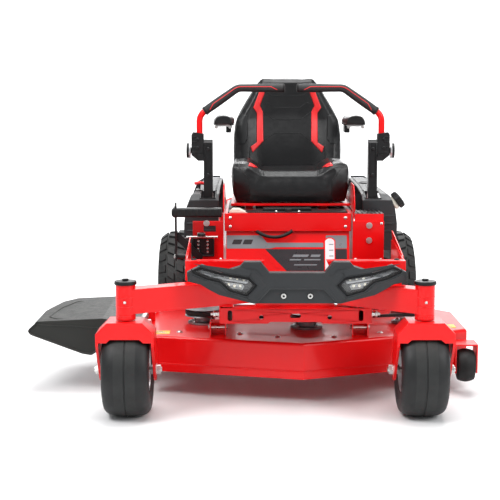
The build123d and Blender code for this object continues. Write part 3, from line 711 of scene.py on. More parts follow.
# ------------------------------------------------------------------ seat and armrests
def raw_block(name, low, high, divisions, shape=None):
    """A finely divided closed box, pushed to its outline by shape(vector)."""
    work = bmesh.new()
    bmesh.ops.create_cube(work, size=1)
    bmesh.ops.subdivide_edges(work, edges=work.edges[:], cuts=divisions, use_grid_fill=True)
    low, high = Vector(low), Vector(high)
    for vert in work.verts:
        vert.co = Vector(l + (c + 0.5) * (h - l) for l, h, c in zip(low, high, vert.co))
        if shape:
            vert.co = shape(vert.co)
    mesh = bpy.data.meshes.new(name)
    work.to_mesh(mesh)
    work.free()
    piece = bpy.data.objects.new(name, mesh)
    bpy.context.collection.objects.link(piece)
    return piece


def inflate(piece, voxel, pressure, cap, pinned=None, frames=20):
    """Remeshes a shell, blows it up a little as cloth, and limits how far it has moved."""
    remesh = piece.modifiers.new("remesh", "REMESH")
    remesh.mode = "VOXEL"
    remesh.voxel_size = voxel
    apply_modifiers(piece)
    start = [v.co.copy() for v in piece.data.vertices]
    cloth = piece.modifiers.new("cloth", "CLOTH")
    settings = cloth.settings
    settings.quality = 5
    settings.mass = 0.3
    settings.tension_stiffness = 30
    settings.compression_stiffness = 30
    settings.shear_stiffness = 20
    settings.bending_stiffness = 2.5
    settings.use_pressure = True
    settings.uniform_pressure_force = pressure
    settings.effector_weights.gravity = 0
    if pinned:
        group = piece.vertex_groups.new(name="held")
        group.add([i for i, co in enumerate(start) if pinned(co)], 1.0, "ADD")
        settings.vertex_group_mass = "held"
    scene = bpy.context.scene
    scene.frame_start = 1
    scene.frame_end = frames
    cloth.point_cache.frame_start = 1
    cloth.point_cache.frame_end = frames
    for number in range(1, frames + 1):
        scene.frame_set(number)
    apply_modifiers(piece)
    scene.frame_set(1)
    for vert, origin in zip(piece.data.vertices, start):
        moved = vert.co - origin
        if moved.length > cap:
            vert.co = origin + moved.normalized() * cap
    smooth = piece.modifiers.new("relax", "SMOOTH")
    smooth.factor = 0.5
    smooth.iterations = 4
    apply_modifiers(piece)
    smoother = piece.modifiers.new("subdivide", "SUBSURF")
    smoother.levels = 1
    smoother.render_levels = 1
    apply_modifiers(piece)
    piece.data.shade_smooth()


def dress(piece, finish, body, node=None):
    piece.data.materials.clear()
    piece.data.materials.append(finish)
    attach(piece, body)
    if node:
        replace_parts(piece, node)
    return piece


def tree_of(piece):
    return BVHTree.FromPolygons(
        [v.co for v in piece.data.vertices], [p.vertices[:] for p in piece.data.polygons]
    )


def draped_line(tree, points, toward, lift, step=4 * MM):
    """Points dropped onto a surface along toward, finely spaced."""
    toward = Vector(toward).normalized()
    line = []
    for first, second in zip(points, points[1:]):
        first, second = Vector(first), Vector(second)
        count = max(2, int((second - first).length / step))
        for index in range(count + (second == Vector(points[-1]))):
            at = first.lerp(second, index / count)
            hit, normal, _, _ = tree.ray_cast(at - toward * 0.5, toward)
            if hit:
                line.append(hit + normal * lift)
    return line


def add_seam(name, tree, points, toward, body, radius=1.5 * MM, finish=None, cyclic=False):
    line = draped_line(tree, points, toward, 0.2 * MM)
    if len(line) < 3:
        return None
    return add_tube(name, line, radius, finish or VINYL, body, sides=8, cyclic=cyclic)


def add_patch(name, tree, outline, plane, toward, finish, body, lift=1.0 * MM, step=5 * MM):
    """A thin sewn-on panel: an outline filled, finely divided and laid onto a surface."""
    toward = Vector(toward).normalized()
    work = bmesh.new()
    rim = []
    for (u0, v0), (u1, v1) in zip(outline, list(outline[1:]) + [outline[0]]):
        count = max(1, int(math.hypot(u1 - u0, v1 - v0) / step))
        for index in range(count):
            t = index / count
            rim.append(work.verts.new((u0 + (u1 - u0) * t, v0 + (v1 - v0) * t, 0)))
    edges = [work.edges.new((a, b)) for a, b in zip(rim, rim[1:] + rim[:1])]
    bmesh.ops.triangle_fill(work, edges=edges, use_beauty=True)
    for _ in range(4):
        long_edges = [e for e in work.edges if e.calc_length() > step * 1.5]
        if not long_edges:
            break
        bmesh.ops.subdivide_edges(work, edges=long_edges, cuts=1, use_grid_fill=False)
        bmesh.ops.triangulate(work, faces=[f for f in work.faces if len(f.verts) > 3])
    dead = []
    for vert in work.verts:
        at = plane(vert.co.x, vert.co.y)
        hit, normal, _, _ = tree.ray_cast(at - toward * 0.5, toward)
        if hit:
            vert.co = hit + normal * lift
        else:
            dead.append(vert)
    bmesh.ops.delete(work, geom=dead, context="VERTS")
    patch = from_bmesh(name, work, finish, body)
    thick = patch.modifiers.new("thickness", "SOLIDIFY")
    thick.thickness = 1.8 * MM
    thick.offset = 0.0
    return patch


def make_seat_cushion(body):
    low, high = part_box("seat_cushion")
    low, high = Vector(low), Vector(high)
    mid_x = (low.x + high.x) / 2
    half = (high.x - low.x) / 2 - 3 * MM
    bottom = low.z + 4 * MM

    def bolster(share):
        """Height of the top across the seat, from the middle (0) to a side (1)."""
        rise = min(1.0, max(0.0, (share - 0.44) / 0.36))
        return 0.5 - 0.5 * math.cos(math.pi * rise)

    def shape(co):
        depth = (co.y - low.y) / (high.y - low.y)
        upward = (co.z - low.z) / (high.z - low.z)
        share = min(1.0, abs(co.x - mid_x) / half)
        dip = 36 * MM + 20 * MM * math.sin(math.pi * min(1, max(0, depth - 0.08) * 1.15))
        top = high.z - 5 * MM - dip * (1 - bolster(share))
        top -= 12 * MM * max(0, 1 - depth / 0.10) ** 2
        narrow = 1.0 - 0.055 * (1 - upward) ** 2
        z = bottom + (top - bottom) * upward
        y = low.y + 10 * MM + (high.y - low.y - 14 * MM) * depth
        y -= 8 * MM * math.sin(math.pi * upward) * max(0, 1 - depth / 0.3)
        y += 26 * MM * max(0, share - 0.72) / 0.28 * max(0, 1 - depth / 0.3)
        return Vector((mid_x + (co.x - mid_x) * half / ((high.x - low.x) / 2) * narrow, y, z))

    cushion = raw_block("seat_cushion_foam", low, high, 22, shape)
    inflate(cushion, 5 * MM, 3.5, 7 * MM, pinned=lambda co: co.z < bottom + 6 * MM)
    dress(cushion, VINYL, body, "seat_cushion")
    tree = tree_of(cushion)
    front = low.y - 0.1
    for side_name, sign in SIDES:
        points = [
            (sign * (108 + 0.06 * max(0, y + 600)) * MM, y * MM, high.z)
            for y in range(-600, -214, 8)
        ]
        add_seam(f"cushion_bolster_seam_{side_name}", tree, points, (0, 0, -1), body, 1.7 * MM)
        points = [
            (sign * x * MM, front, z * MM)
            for x, z in ((214, 838), (178, 800), (166, 780), (166, 712))
        ]
        add_seam(f"cushion_front_seam_{side_name}", tree, points, (0, 1, 0), body, 1.3 * MM)
        points = [(sign * 0.5, y * MM, 0.79) for y in range(-590, -210, 8)]
        add_seam(f"cushion_side_seam_{side_name}", tree, points, (-sign, 0, 0), body, 1.9 * MM)
        outline = [
            (sign * x * MM, y * MM)
            for x, y in (
                (132, -560), (146, -586), (170, -594), (160, -540), (144, -470), (134, -480)
            )
        ]
        add_patch(
            f"cushion_accent_{side_name}", tree, outline, lambda u, v: Vector((u, v, high.z)),
            (0, 0, -1), VINYL_RED, body,
        )
    for index, y in enumerate((-470, -350)):
        points = [(x * MM, y * MM, high.z) for x in range(-108, 110, 8)]
        add_seam(f"cushion_cross_seam_{index}", tree, points, (0, 0, -1), body, 1.4 * MM)


BACK_NORMAL = Vector((0, -1, 0.2)).normalized()
BACK_UP = Vector((0, 0.2, 1)).normalized()
BACK_ORIGIN = Vector((0, -0.165, 0.770))
BACK_HALF = (
    (0, 236), (90, 240), (170, 241), (246, 234), (300, 205), (350, 176), (404, 144), (425, 128),
    (438, 108),
)


def back_half(height):
    """Half width of the seat back at a height up its plane, in metres."""
    height = height / MM
    for (h0, w0), (h1, w1) in zip(BACK_HALF, BACK_HALF[1:]):
        if height <= h1:
            return (w0 + (w1 - w0) * (height - h0) / (h1 - h0)) * MM
    return BACK_HALF[-1][1] * MM


def back_point(u, v, w=0.0):
    """A point on the seat back: across, up its slope, and out of its front face."""
    return BACK_ORIGIN + Vector((u, 0, 0)) + BACK_UP * v + BACK_NORMAL * w


def make_seat_back(body):
    height = 0.438

    def shape(co):
        v = (co.z + 0.5) * (height - 10 * MM) + 5 * MM
        half = back_half(v) - 7 * MM
        u = co.x * 2 * half
        share = abs(co.x) * 2
        bolster = 0.5 - 0.5 * math.cos(math.pi * min(1.0, max(0.0, (share - 0.46) / 0.4)))
        fade = min(1.0, max(0.0, (height - v) / 0.16))
        front = -5 * MM - (30 * MM * (1 - bolster) * fade)
        front += 10 * MM * math.exp(-((v - 0.14) / 0.09) ** 2) * (1 - bolster)
        back = -88 * MM + 16 * MM * (share ** 3)
        w = back + (co.y + 0.5) * (front - back)
        return back_point(u, v, w)

    shell = raw_block("seat_back_foam", (-0.5, -0.5, -0.5), (0.5, 0.5, 0.5), 22, shape)
    inflate(shell, 5 * MM, 3.5, 8 * MM)
    dress(shell, VINYL, body, "seat_back")
    tree = tree_of(shell)
    into = -BACK_NORMAL

    def ray_line(points):
        return [back_point(u * MM, v * MM, 0.2) for u, v in points]

    creases = (
        ((-104, 154), (-56, 188), (56, 188), (104, 154)),
        ((-106, 284), (-60, 250), (60, 250), (106, 284)),
        ((-100, 320), (-84, 322), (-56, 302), (56, 302), (84, 322), (100, 320)),
        ((-96, 372), (-66, 354), (66, 354), (96, 372)),
    )
    for index, crease in enumerate(creases):
        add_seam(
            f"back_cross_seam_{index}", tree, ray_line(crease), into, body, 1.2 * MM, VINYL_SOFT
        )
    stripe = (
        (122, 372), (97, 372), (120, 308), (107, 283), (105, 152), (152, 100), (161, 126),
        (134, 146), (134, 276), (150, 298),
    )
    for side_name, sign in SIDES:
        edge = [
            (sign * u, v)
            for u, v in (
                (116, 434), (122, 372), (150, 298), (134, 276), (134, 146), (161, 126), (172, 20)
            )
        ]
        add_seam(f"back_bolster_seam_{side_name}", tree, ray_line(edge), into, body, 1.9 * MM)
        outline = [(sign * u * MM, v * MM) for u, v in stripe]
        add_patch(
            f"back_stripe_{side_name}", tree, outline, lambda u, v: back_point(u, v, 0.2), into,
            VINYL_RED, body,
        )
        panel = [
            (sign * u * MM, v * MM)
            for u, v in ((226, 222), (204, 268), (176, 262), (172, 160), (188, 136), (224, 140))
        ]
        add_patch(
            f"back_wing_panel_{side_name}", tree, panel, lambda u, v: back_point(u, v, 0.2), into,
            VINYL_SOFT, body, lift=0.6 * MM,
        )
    for index, v in enumerate((60, 150, 240, 330, 400)):
        half = back_half(v * MM) / MM - 40
        points = [back_point(u * MM, v * MM, -0.3) for u in range(-int(half), int(half) + 1, 10)]
        add_seam(f"back_shell_rib_{index}", tree, points, BACK_NORMAL, body, 3 * MM, BLACK)


def make_armrest(side_name, sign):
    node = f"armrest_{side_name}"
    body = f"armrest_{side_name}_body"
    middle = sign * 0.272
    low = Vector((middle - 0.047, -0.465, 0.989))
    high = Vector((middle + 0.047, -0.175, 1.041))

    def shape(co):
        along = (co.y - low.y) / (high.y - low.y)
        across = (co.x - middle) / 0.047
        upward = (co.z - low.z) / (high.z - low.z)
        taper = 1 - 0.14 * max(0, 1 - along / 0.25) ** 2 - 0.10 * max(0, (along - 0.7) / 0.3) ** 2
        narrow = 1 - 0.30 * upward ** 2
        x = middle + across * 44 * MM * taper * narrow
        crown = 7 * MM * (1 - across ** 2) * upward
        z = low.z + 3 * MM + upward * 37 * MM + crown + 8 * MM * (1 - upward) * max(
            0, 1 - along / 0.2
        ) ** 2
        return Vector((x, low.y + 4 * MM + along * (high.y - low.y - 8 * MM), z))

    pad = raw_block(f"armrest_foam_{side_name}", low, high, 12, shape)
    inflate(pad, 4 * MM, 3.0, 4 * MM)
    dress(pad, VINYL, body, node)
    tree = tree_of(pad)
    for index, side in enumerate((-1, 1)):
        points = [(middle + side * 0.2, y * MM, low.z + 12 * MM) for y in range(-448, -192, 8)]
        add_seam(f"armrest_seam_{side_name}_{index}", tree, points, (-side, 0, 0), body, 1.5 * MM)
    points = [(middle + u * MM, low.y - 0.2, low.z + 13 * MM) for u in range(-32, 34, 6)]
    add_seam(f"armrest_front_seam_{side_name}", tree, points, (0, 1, 0), body, 1.5 * MM)
    add_block(
        f"armrest_bracket_{side_name}", (sign * 0.256 - 0.011, -0.204, 0.956),
        (sign * 0.256 + 0.011, -0.112, 0.996), SATIN, body, 3 * MM,
    )
    add_lathe(
        f"armrest_pivot_{side_name}",
        ((0, 9 * MM), (10 * MM, 9 * MM), (12 * MM, 6 * MM), (12.5 * MM, 1 * MM)),
        (sign * 0.300, -0.175, 1.000), (sign, 0, 0), ZINC, body, 24,
    )
    knobs = [
        add_lathe(
            f"knob_{x}", ((0, 7 * MM), (8 * MM, 7 * MM), (10 * MM, 4 * MM), (10.4 * MM, 1 * MM)),
            (sign * x, -0.440, 0.992), (0, 0, -1), ZINC, body, 20,
        )
        for x in (0.244, 0.302)
    ]
    joined(f"armrest_adjusters_{side_name}", knobs, ZINC, body)


make_seat_cushion("seat")
make_seat_back("seat")
for side_name, side_sign in SIDES:
    make_armrest(side_name, side_sign)


# ------------------------------------------------------------------ steering levers
def make_lap_bar(side_name, sign):
    body = f"lap_bar_{side_name}_body"
    y = -0.56
    run = rounded_path(
        [
            (sign * 0.366, y, 0.951), (sign * 0.366, y, 1.040), (sign * 0.212, y, 1.148),
            (sign * 0.026, y, 1.148),
        ],
        48 * MM, 10,
    )
    lengths = [0.0]
    for before, after in zip(run, run[1:]):
        lengths.append(lengths[-1] + (after - before).length)

    def at(distance):
        for index in range(1, len(run)):
            if distance <= lengths[index]:
                share = (distance - lengths[index - 1]) / (lengths[index] - lengths[index - 1])
                return run[index - 1].lerp(run[index], share)
        return run[-1]

    total = lengths[-1]
    start = 0.112

    def sleeve(share):
        swell = 16.4 * MM + 0.9 * MM * math.sin(share * 9.0)
        return swell - 3.0 * MM * max(0, 0.02 - share) / 0.02

    points = [at(start + (total - start - 1 * MM) * k / 90) for k in range(91)]
    add_tube(f"lap_bar_grip_{side_name}", points, sleeve, GRIP, body, sides=28)
    end = run[-1]
    profile = (
        (0, 17.4 * MM), (5 * MM, 17.6 * MM), (8 * MM, 15 * MM), (9.4 * MM, 9 * MM),
        (9.6 * MM, 1 * MM),
    )
    add_lathe(
        f"grip_end_{side_name}", profile, end + Vector((sign * 6 * MM, 0, 0)), (-sign, 0, 0),
        RUBBER, body, 28,
    )
    collar = at(start + 3 * MM)
    direction = (at(start + 8 * MM) - at(start - 4 * MM)).normalized()
    add_turned(
        f"grip_collar_{side_name}", ((-6, 13.2), (-5, 17.5), (3, 18.2), (5, 16.6)), collar,
        direction, RUBBER, body, 28,
    )
    lines = []
    for height, first, last in (
        (5 * MM, start + 0.020, total - 0.028), (-9 * MM, start + 0.010, start + 0.060),
        (-12 * MM, total - 0.060, total - 0.012),
    ):
        line = []
        for k in range(61):
            distance = first + (last - first) * k / 60
            forward = at(distance + 1 * MM) - at(distance - 1 * MM)
            rise = Vector((-forward.z, 0, forward.x)).normalized() * -sign
            slide = max(0, 1 - k / 5) + max(0, (k - 55) / 5)
            up = height - (12 * MM * slide if height > 0 else 0)
            line.append(
                at(distance) + rise * up + Vector((0, -math.sqrt((16.9 * MM) ** 2 - up ** 2), 0))
            )
        if height > 0:
            lines.append(add_tube("line", line, 1.4 * MM, RED_LINE, body, sides=8))
    joined(f"grip_line_{side_name}", lines, RED_LINE, body)


def make_clamp(side_name, sign):
    body = f"lap_bar_{side_name}_body"
    centre = Vector((sign * 0.404, -0.56, 0.898))
    profile = (
        (-2 * MM, 30.2 * MM), (3 * MM, 30.6 * MM), (9 * MM, 27 * MM), (13 * MM, 19 * MM),
        (15.6 * MM, 9 * MM), (16.2 * MM, 1 * MM),
    )
    add_lathe(f"clamp_knob_{side_name}", profile, centre, (sign, 0, 0), SILVER, body, 48)
    studs = []
    for z, y in ((0.944, -0.582), (0.910, -0.582)):
        profile = ((0, 7 * MM), (4 * MM, 7 * MM), (5.4 * MM, 5 * MM), (5.6 * MM, 1 * MM))
        studs.append(
            add_lathe(f"stud_{z}", profile, (sign * 0.374, y, z), (0, -1, 0), SATIN, body, 6)
        )
    joined(f"clamp_bolts_{side_name}", studs, SATIN, body)
    ribs = []
    for index in range(4):
        z = 0.888 + index * 0.021
        ribs.append(add_block(
            f"rib_{index}", (sign * 0.386 - 0.011, -0.5835, z),
            (sign * 0.386 + 0.011, -0.5765, z + 0.006), BLACK, body, 1 * MM,
        ))
    joined(f"clamp_ribs_{side_name}", ribs, BLACK, body)


def make_arm_details(side_name, sign):
    body = f"control_{side_name}"
    studs = []
    for z in (0.905, 0.800):
        profile = ((0, 8 * MM), (4 * MM, 8 * MM), (5.5 * MM, 6 * MM), (5.8 * MM, 1 * MM))
        studs.append(
            add_lathe(f"stud_{z}", profile, (sign * 0.331, -0.5855, z), (0, -1, 0), SATIN, body, 6)
        )
    joined(f"arm_bolts_{side_name}", studs, SATIN, body)
    ribs = [
        add_block(
            f"rib_{x}", (sign * x - 0.002, -0.589, 0.790), (sign * x + 0.002, -0.584, 0.930), SATIN,
            body, 1 * MM,
        )
        for x in (0.318, 0.344)
    ]
    joined(f"arm_ribs_{side_name}", ribs, SATIN, body)


for side_name, side_sign in SIDES:
    make_lap_bar(side_name, side_sign)
    make_clamp(side_name, side_sign)
    make_arm_details(side_name, side_sign)


# ------------------------------------------------------------------ headlights
def bumper_front(x):
    """How far forward the bumper's front face is at x, in metres."""
    return -1.350 + max(0.0, abs(x) - 0.300) * 0.34


LENS_HALF = (
    (138, 474), (164, 502), (252, 516), (330, 537), (368, 524), (360, 514), (315, 496), (266, 484),
    (233, 454), (172, 436),
)


def shrunk(outline, amount):
    """The outline moved inward by about amount along its corner bisectors."""
    points = [Vector(p) for p in outline]
    area = sum(a.x * b.y - b.x * a.y for a, b in zip(points, points[1:] + points[:1]))
    sense = 1 if area > 0 else -1
    inner = []
    for before, point, after in zip(points[-1:] + points[:-1], points, points[1:] + points[:1]):
        first = (point - before).normalized()
        second = (after - point).normalized()
        n0 = Vector((-first.y, first.x)) * sense
        n1 = Vector((-second.y, second.x)) * sense
        bisector = (n0 + n1).normalized()
        inner.append(point + bisector * amount / max(0.45, bisector.dot(n0)))
    return [(p.x, p.y) for p in inner]


def lamp_point(sign, u, v, depth):
    x = sign * u * MM
    return Vector((x, bumper_front(x) + depth * MM, v * MM))


def rounded_outline(points, reach, steps=4):
    """Corners cut back by reach and eased with a short curve."""
    points = [Vector(p) for p in points]
    rounded = []
    for before, point, after in zip(points[-1:] + points[:-1], points, points[1:] + points[:1]):
        start = point + (before - point).normalized() * min(reach, (before - point).length * 0.4)
        end = point + (after - point).normalized() * min(reach, (after - point).length * 0.4)
        for step in range(steps + 1):
            t = step / steps
            rounded.append(start.lerp(point, t).lerp(point.lerp(end, t), t))
    return [(p.x, p.y) for p in rounded]


def add_lamp_plate(name, outline, sign, depth, thick, finish, width=0.8 * MM):
    return add_prism(
        name, outline, lambda u, v, w: lamp_point(sign, u, v, depth + w), thick, finish, CHASSIS,
        width,
    )


def make_headlight(side_name, sign):
    outer = rounded_outline(shrunk(LENS_HALF, 1.5), 8)
    middle = rounded_outline(shrunk(LENS_HALF, 8), 7)
    inner = rounded_outline(shrunk(LENS_HALF, 12), 5)
    bezel = bmesh.new()
    rings = []
    for outline, depth in ((outer, 24), (outer, 4), (middle, 3), (inner, 13), (inner, 24)):
        rings.append([bezel.verts.new(lamp_point(sign, u, v, depth)) for u, v in outline])
    bridge(bezel, rings)
    piece = from_bmesh(f"lamp_bezel_{side_name}", bezel, BLACK, CHASSIS)
    soften(piece, 0.8 * MM)
    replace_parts(piece, "headlights")
    add_lamp_plate(f"lamp_back_{side_name}", inner, sign, 24.5, 5, DECAL_DARK)
    tray_upper = ((166, 491), (176, 499), (250, 509), (254, 500), (244, 494), (172, 486))
    tray_lower = ((182, 470), (188, 477), (250, 486), (252, 478), (240, 466), (188, 458))
    tray_outer = ((262, 504), (268, 514), (332, 528), (356, 522), (352, 516), (300, 502))
    for index, shade_sheet in enumerate((tray_upper, tray_lower, tray_outer)):
        walls = bmesh.new()
        rings = []
        for inset, depth in ((0, 20), (0, 11.5), (1.8, 11.5), (4.5, 21)):
            outline = rounded_outline(shrunk(shade_sheet, inset), 2.5, 3)
            rings.append([walls.verts.new(lamp_point(sign, u, v, depth)) for u, v in outline])
        bridge(walls, rings)
        walls.faces.new(rings[-1])
        from_bmesh(
            f"lamp_tray_{side_name}_{index}", walls, SILVER if index < 2 else DECAL_GREY, CHASSIS
        )
    chips = []
    for row, spots in enumerate(
        (((184, 490), (207, 492), (230, 497)), ((196, 470), (216, 471), (236, 475)))
    ):
        for k, (u, v) in enumerate(spots):
            centre = lamp_point(sign, u, v, 19)
            profile = (
                (2 * MM, 4.2 * MM), (-1 * MM, 4.0 * MM), (-3 * MM, 2.8 * MM), (-3.6 * MM, 1.0 * MM)
            )
            chips.append(
                add_lathe(f"chip_{row}_{k}", profile, centre, (0, 1, 0), CHIP, CHASSIS, 20)
            )
    joined(f"lamp_chips_{side_name}", chips, CHIP, CHASSIS)
    glass = rounded_outline(shrunk(LENS_HALF, 7.5), 6)
    add_lamp_plate(f"lamp_lens_{side_name}", glass, sign, 5.2, 2.2, LENS, 0.5 * MM)
    add_lamp_plate(
        f"lamp_light_bar_{side_name}",
        rounded_outline(
            (
                (168, 482), (176, 485), (248, 495), (258, 501), (345, 517), (300, 505), (258, 492),
                (176, 479),
            ),
            2, 2,
        ),
        sign, 12.5, 3, DECAL_WHITE, 0.6 * MM,
    )


for side_name, side_sign in SIDES:
    make_headlight(side_name, side_sign)

FACETS = {
    "lower_lip": (
        (368, 509, 3.5), (318, 491, 3.5), (270, 479, 3.5), (238, 449, 3.5), (173, 430, 3.5),
        (152, 413, 0.3), (268, 442, 0.3), (334, 477, 0.3), (378, 485, 0.3),
    ),
    "inner_vee": (
        (160, 510, 4), (132, 474, 4), (170, 431, 4), (152, 416, 0.3), (106, 474, 0.3),
        (150, 524, 0.3),
    ),
    "upper_lip": (
        (166, 508, 4), (252, 521, 4), (330, 541, 2), (262, 522, 0.3), (197, 538, 0.3),
        (158, 524, 0.3),
    ),
    "lobe": (
        (100, 515, 0.3), (128, 552, 0.3), (180, 552, 0.3), (190, 541, 0.3), (160, 534, 3),
        (136, 530, 3), (122, 510, 3),
    ),
}
for facet_name, facet in FACETS.items():
    for side_name, side_sign in SIDES:
        outs = {(u, v): out for u, v, out in facet}
        add_prism(
            f"bumper_{facet_name}_{side_name}", [(u, v) for u, v, _ in facet], lambda u, v, w,
            s=side_sign, o=outs: lamp_point(s, u, v, 1.0 if w else -o[(u, v)]), 1, DARK, CHASSIS,
            0.6 * MM,
        )
frame_edges = []
for first, second in (((-92, 463), (92, 463)), ((92, 463), (136, 416)), ((-92, 463), (-136, 416))):
    line = [
        Vector((
            first[0] + (second[0] - first[0]) * t / 12, 0,
            first[1] + (second[1] - first[1]) * t / 12,
        )) * MM
        for t in range(13)
    ]
    edge = [Vector((spot.x, -1.350, spot.z)) for spot in line]
    frame_edges.append(add_tube("edge", edge, 2.6 * MM, DARK, CHASSIS, sides=8))
joined("bumper_recess_edges", frame_edges, DARK, CHASSIS)
slots = []
for screw_x in (-0.046, 0.046):
    slots.append(add_turned(
        f"socket_{screw_x}", ((-1, 4.6), (0.8, 4.4), (1, 2)), (screw_x, -1.3494, 0.437), (0, -1, 0),
        BLACK, CHASSIS, 6,
    ))
joined("bumper_screw_sockets", slots, BLACK, CHASSIS)
washers = []
for screw_x in (-0.046, 0.046):
    washers.append(add_turned(
        f"washer_{screw_x}", ((-0.5, 12), (1.2, 12), (1.8, 11)), (screw_x, -1.3442, 0.437),
        (0, -1, 0), BLACK, CHASSIS, 28,
    ))
joined("bumper_washers", washers, BLACK, CHASSIS)


# ------------------------------------------------------------------ body panel graphics and fittings
def panel_point(x, z, out):
    """A point on the centre panel's slanted face, out by some millimetres."""
    slope = (z - 393) * 57.5 / 199
    return Vector((x, -803.5 + slope - out * 0.96, z + out * 0.28)) * MM


def add_decal(name, outline, finish, lift=0.25, thick=0.5, reach=4):
    return add_prism(
        name, rounded_outline(outline, reach, 3), lambda u, v,
        w: panel_point(u, v, lift + 0.6 - w / MM), thick * MM, finish, CHASSIS, 0,
    )


add_decal(
    "panel_grey_band",
    (
        (-254, 576), (-120, 576), (-96, 548), (124, 548), (124, 531), (-62, 531), (-84, 526),
        (-254, 526),
    ),
    DECAL_GREY, 0.1,
)
add_decal("panel_grey_band_left", ((134, 576), (216, 576), (216, 526), (134, 526)), DECAL_GREY, 0.1)
add_decal("panel_dark_flash", ((-104, 524), (-20, 441), (216, 441), (216, 524)), DECAL_DARK, 0.12)
add_decal("panel_red_cut", ((-60, 452), (-44, 452), (-98, 512), (-114, 512)), RED, 0.5)
for bar_index, (bar_x, bar_z, bar_w, bar_h) in enumerate(
    ((8, 503, 60, 9), (78, 503, 36, 9), (-6, 486, 44, 5), (50, 486, 64, 5), (10, 466, 90, 4))
):
    add_decal(
        f"panel_bar_{bar_index}",
        (
            (bar_x, bar_z), (bar_x + bar_w, bar_z), (bar_x + bar_w - bar_h * 0.6, bar_z - bar_h),
            (bar_x - bar_h * 0.6, bar_z - bar_h),
        ),
        DECAL_GREY, 0.55, reach=1.5,
    )
for bar_index, (bar_x, bar_w) in enumerate(((-226, 34), (-184, 34))):
    add_decal(
        f"panel_band_bar_{bar_index}",
        ((bar_x, 560), (bar_x + bar_w, 560), (bar_x + bar_w - 8, 542), (bar_x - 8, 542)),
        DECAL_DARK, 0.5, reach=2,
    )
add_decal(
    "sight_strip_edge", ((127, 440), (171, 440), (171, 558), (158, 568), (140, 568), (127, 558)),
    RED, 0.6,
)
add_decal(
    "sight_strip", ((131, 441), (167, 441), (167, 556), (156, 564), (142, 564), (131, 556)),
    DECAL_WHITE, 0.95,
)
for tick in range(5):
    add_decal(
        f"sight_tick_{tick}",
        (
            (146, 452 + tick * 22), (163, 452 + tick * 22), (163, 455 + tick * 22),
            (146, 455 + tick * 22),
        ),
        DECAL_GREY, 1.25, reach=0.6,
    )


PANEL_FACE_Y = -0.7682
add_bolts(
    "panel_bolt_heads",
    [(x, PANEL_FACE_Y, z) for x, z in ((-0.332, 0.626), (0.302, 0.617), (0.302, 0.558))],
    (0, -1, 0), 10.2, CHASSIS,
)
add_bolts(
    "panel_small_screws",
    [
        (x, PANEL_FACE_Y, z)
        for x, z in (
            (-0.376, 0.484), (-0.278, 0.484), (0.350, 0.484), (0.250, 0.484), (-0.376, 0.560),
            (0.350, 0.625),
        )
    ],
    (0, -1, 0), 4.5, CHASSIS, 3.0,
)
add_bolts(
    "upper_panel_screws", [(x, -0.7602, z) for x in (-0.240, 0.210) for z in (0.612, 0.646)],
    (0, -1, 0), 5, CHASSIS, 3.2,
)

mat_boxes = [((-0.340, -1.050, 0.3922), (0.340, -0.812, 0.3955))]
for rib in range(8):
    rib_y = -1.034 + rib * 0.029
    mat_boxes.append(((-0.332, rib_y - 0.004, 0.3945), (0.332, rib_y + 0.004, 0.3985)))
add_boxes("foot_mat", mat_boxes, RUBBER, CHASSIS, 1.2 * MM)

for side_name, side_sign in SIDES:
    make_bolt_head(
        f"footwell_corner_bolt_{side_name}", (side_sign * 0.364, -1.166, 0.5382), (0, 0, 1), 9,
        CHASSIS, BLACK, 5,
    )
    gusset = [(-1.100, 0.542), (-1.100, 0.530)]
    if side_name == "left":
        gusset = [(-0.790, 0.560), (-0.790, 0.600), (-0.815, 0.600)] + gusset
    else:
        gusset = [(-0.880, 0.560), (-0.880, 0.587)] + gusset
    add_prism(
        f"step_gusset_{side_name}", gusset, lambda u, v, w,
        s=side_sign: Vector((s * (0.3945 + w - (v - 0.53) * 0.12), u, v)), 0.004, RED, CHASSIS,
    )
    add_bolts(
        f"gusset_bolts_{side_name}", [(side_sign * 0.3942, u, 0.500) for u in (-0.900, -1.100)],
        (side_sign, 0, 0), 7, CHASSIS,
    )


# ------------------------------------------------------------------ side consoles
def console_top(y):
    """Height of the console's top at a distance along the machine, in metres."""
    spots = ((-620, 702), (-560, 722), (-330, 738), (60, 742), (250, 716), (330, 650))
    y = y / MM
    for (y0, z0), (y1, z1) in zip(spots, spots[1:]):
        if y <= y1:
            return (z0 + (z1 - z0) * (y - y0) / (y1 - y0)) * MM
    return 0.65


for side_name, side_sign in SIDES:
    rib_boxes = [
        mirrored_box(
            side_sign, (0.300, 0.416), (-0.6225, -0.6185),
            (0.575 + rib * 0.030, 0.575 + rib * 0.030 + 0.008),
        )
        for rib in range(3)
    ]
    add_boxes(f"console_front_ribs_{side_name}", rib_boxes, DARK, CHASSIS, 1.5 * MM)
    bead = [
        Vector((side_sign * 0.303, y * MM, console_top(y * MM) + 0.5 * MM))
        for y in range(-480, 230, 10)
    ]
    add_tube(f"console_inner_bead_{side_name}", bead, 3.0 * MM, DARK, CHASSIS, sides=8)
    slot = [
        Vector((side_sign * x, y, console_top(y) + 0.001))
        for x, y in ((0.302, -0.606), (0.364, -0.606), (0.364, -0.500), (0.302, -0.500))
    ]
    slot_path = rounded_path(
        [slot[0].lerp(slot[1], 0.5), *slot[1:], slot[0], slot[0].lerp(slot[1], 0.48)], 6 * MM, 4
    )
    add_tube(f"arm_slot_trim_{side_name}", slot_path, 2.6 * MM, BLACK, CHASSIS, sides=8)

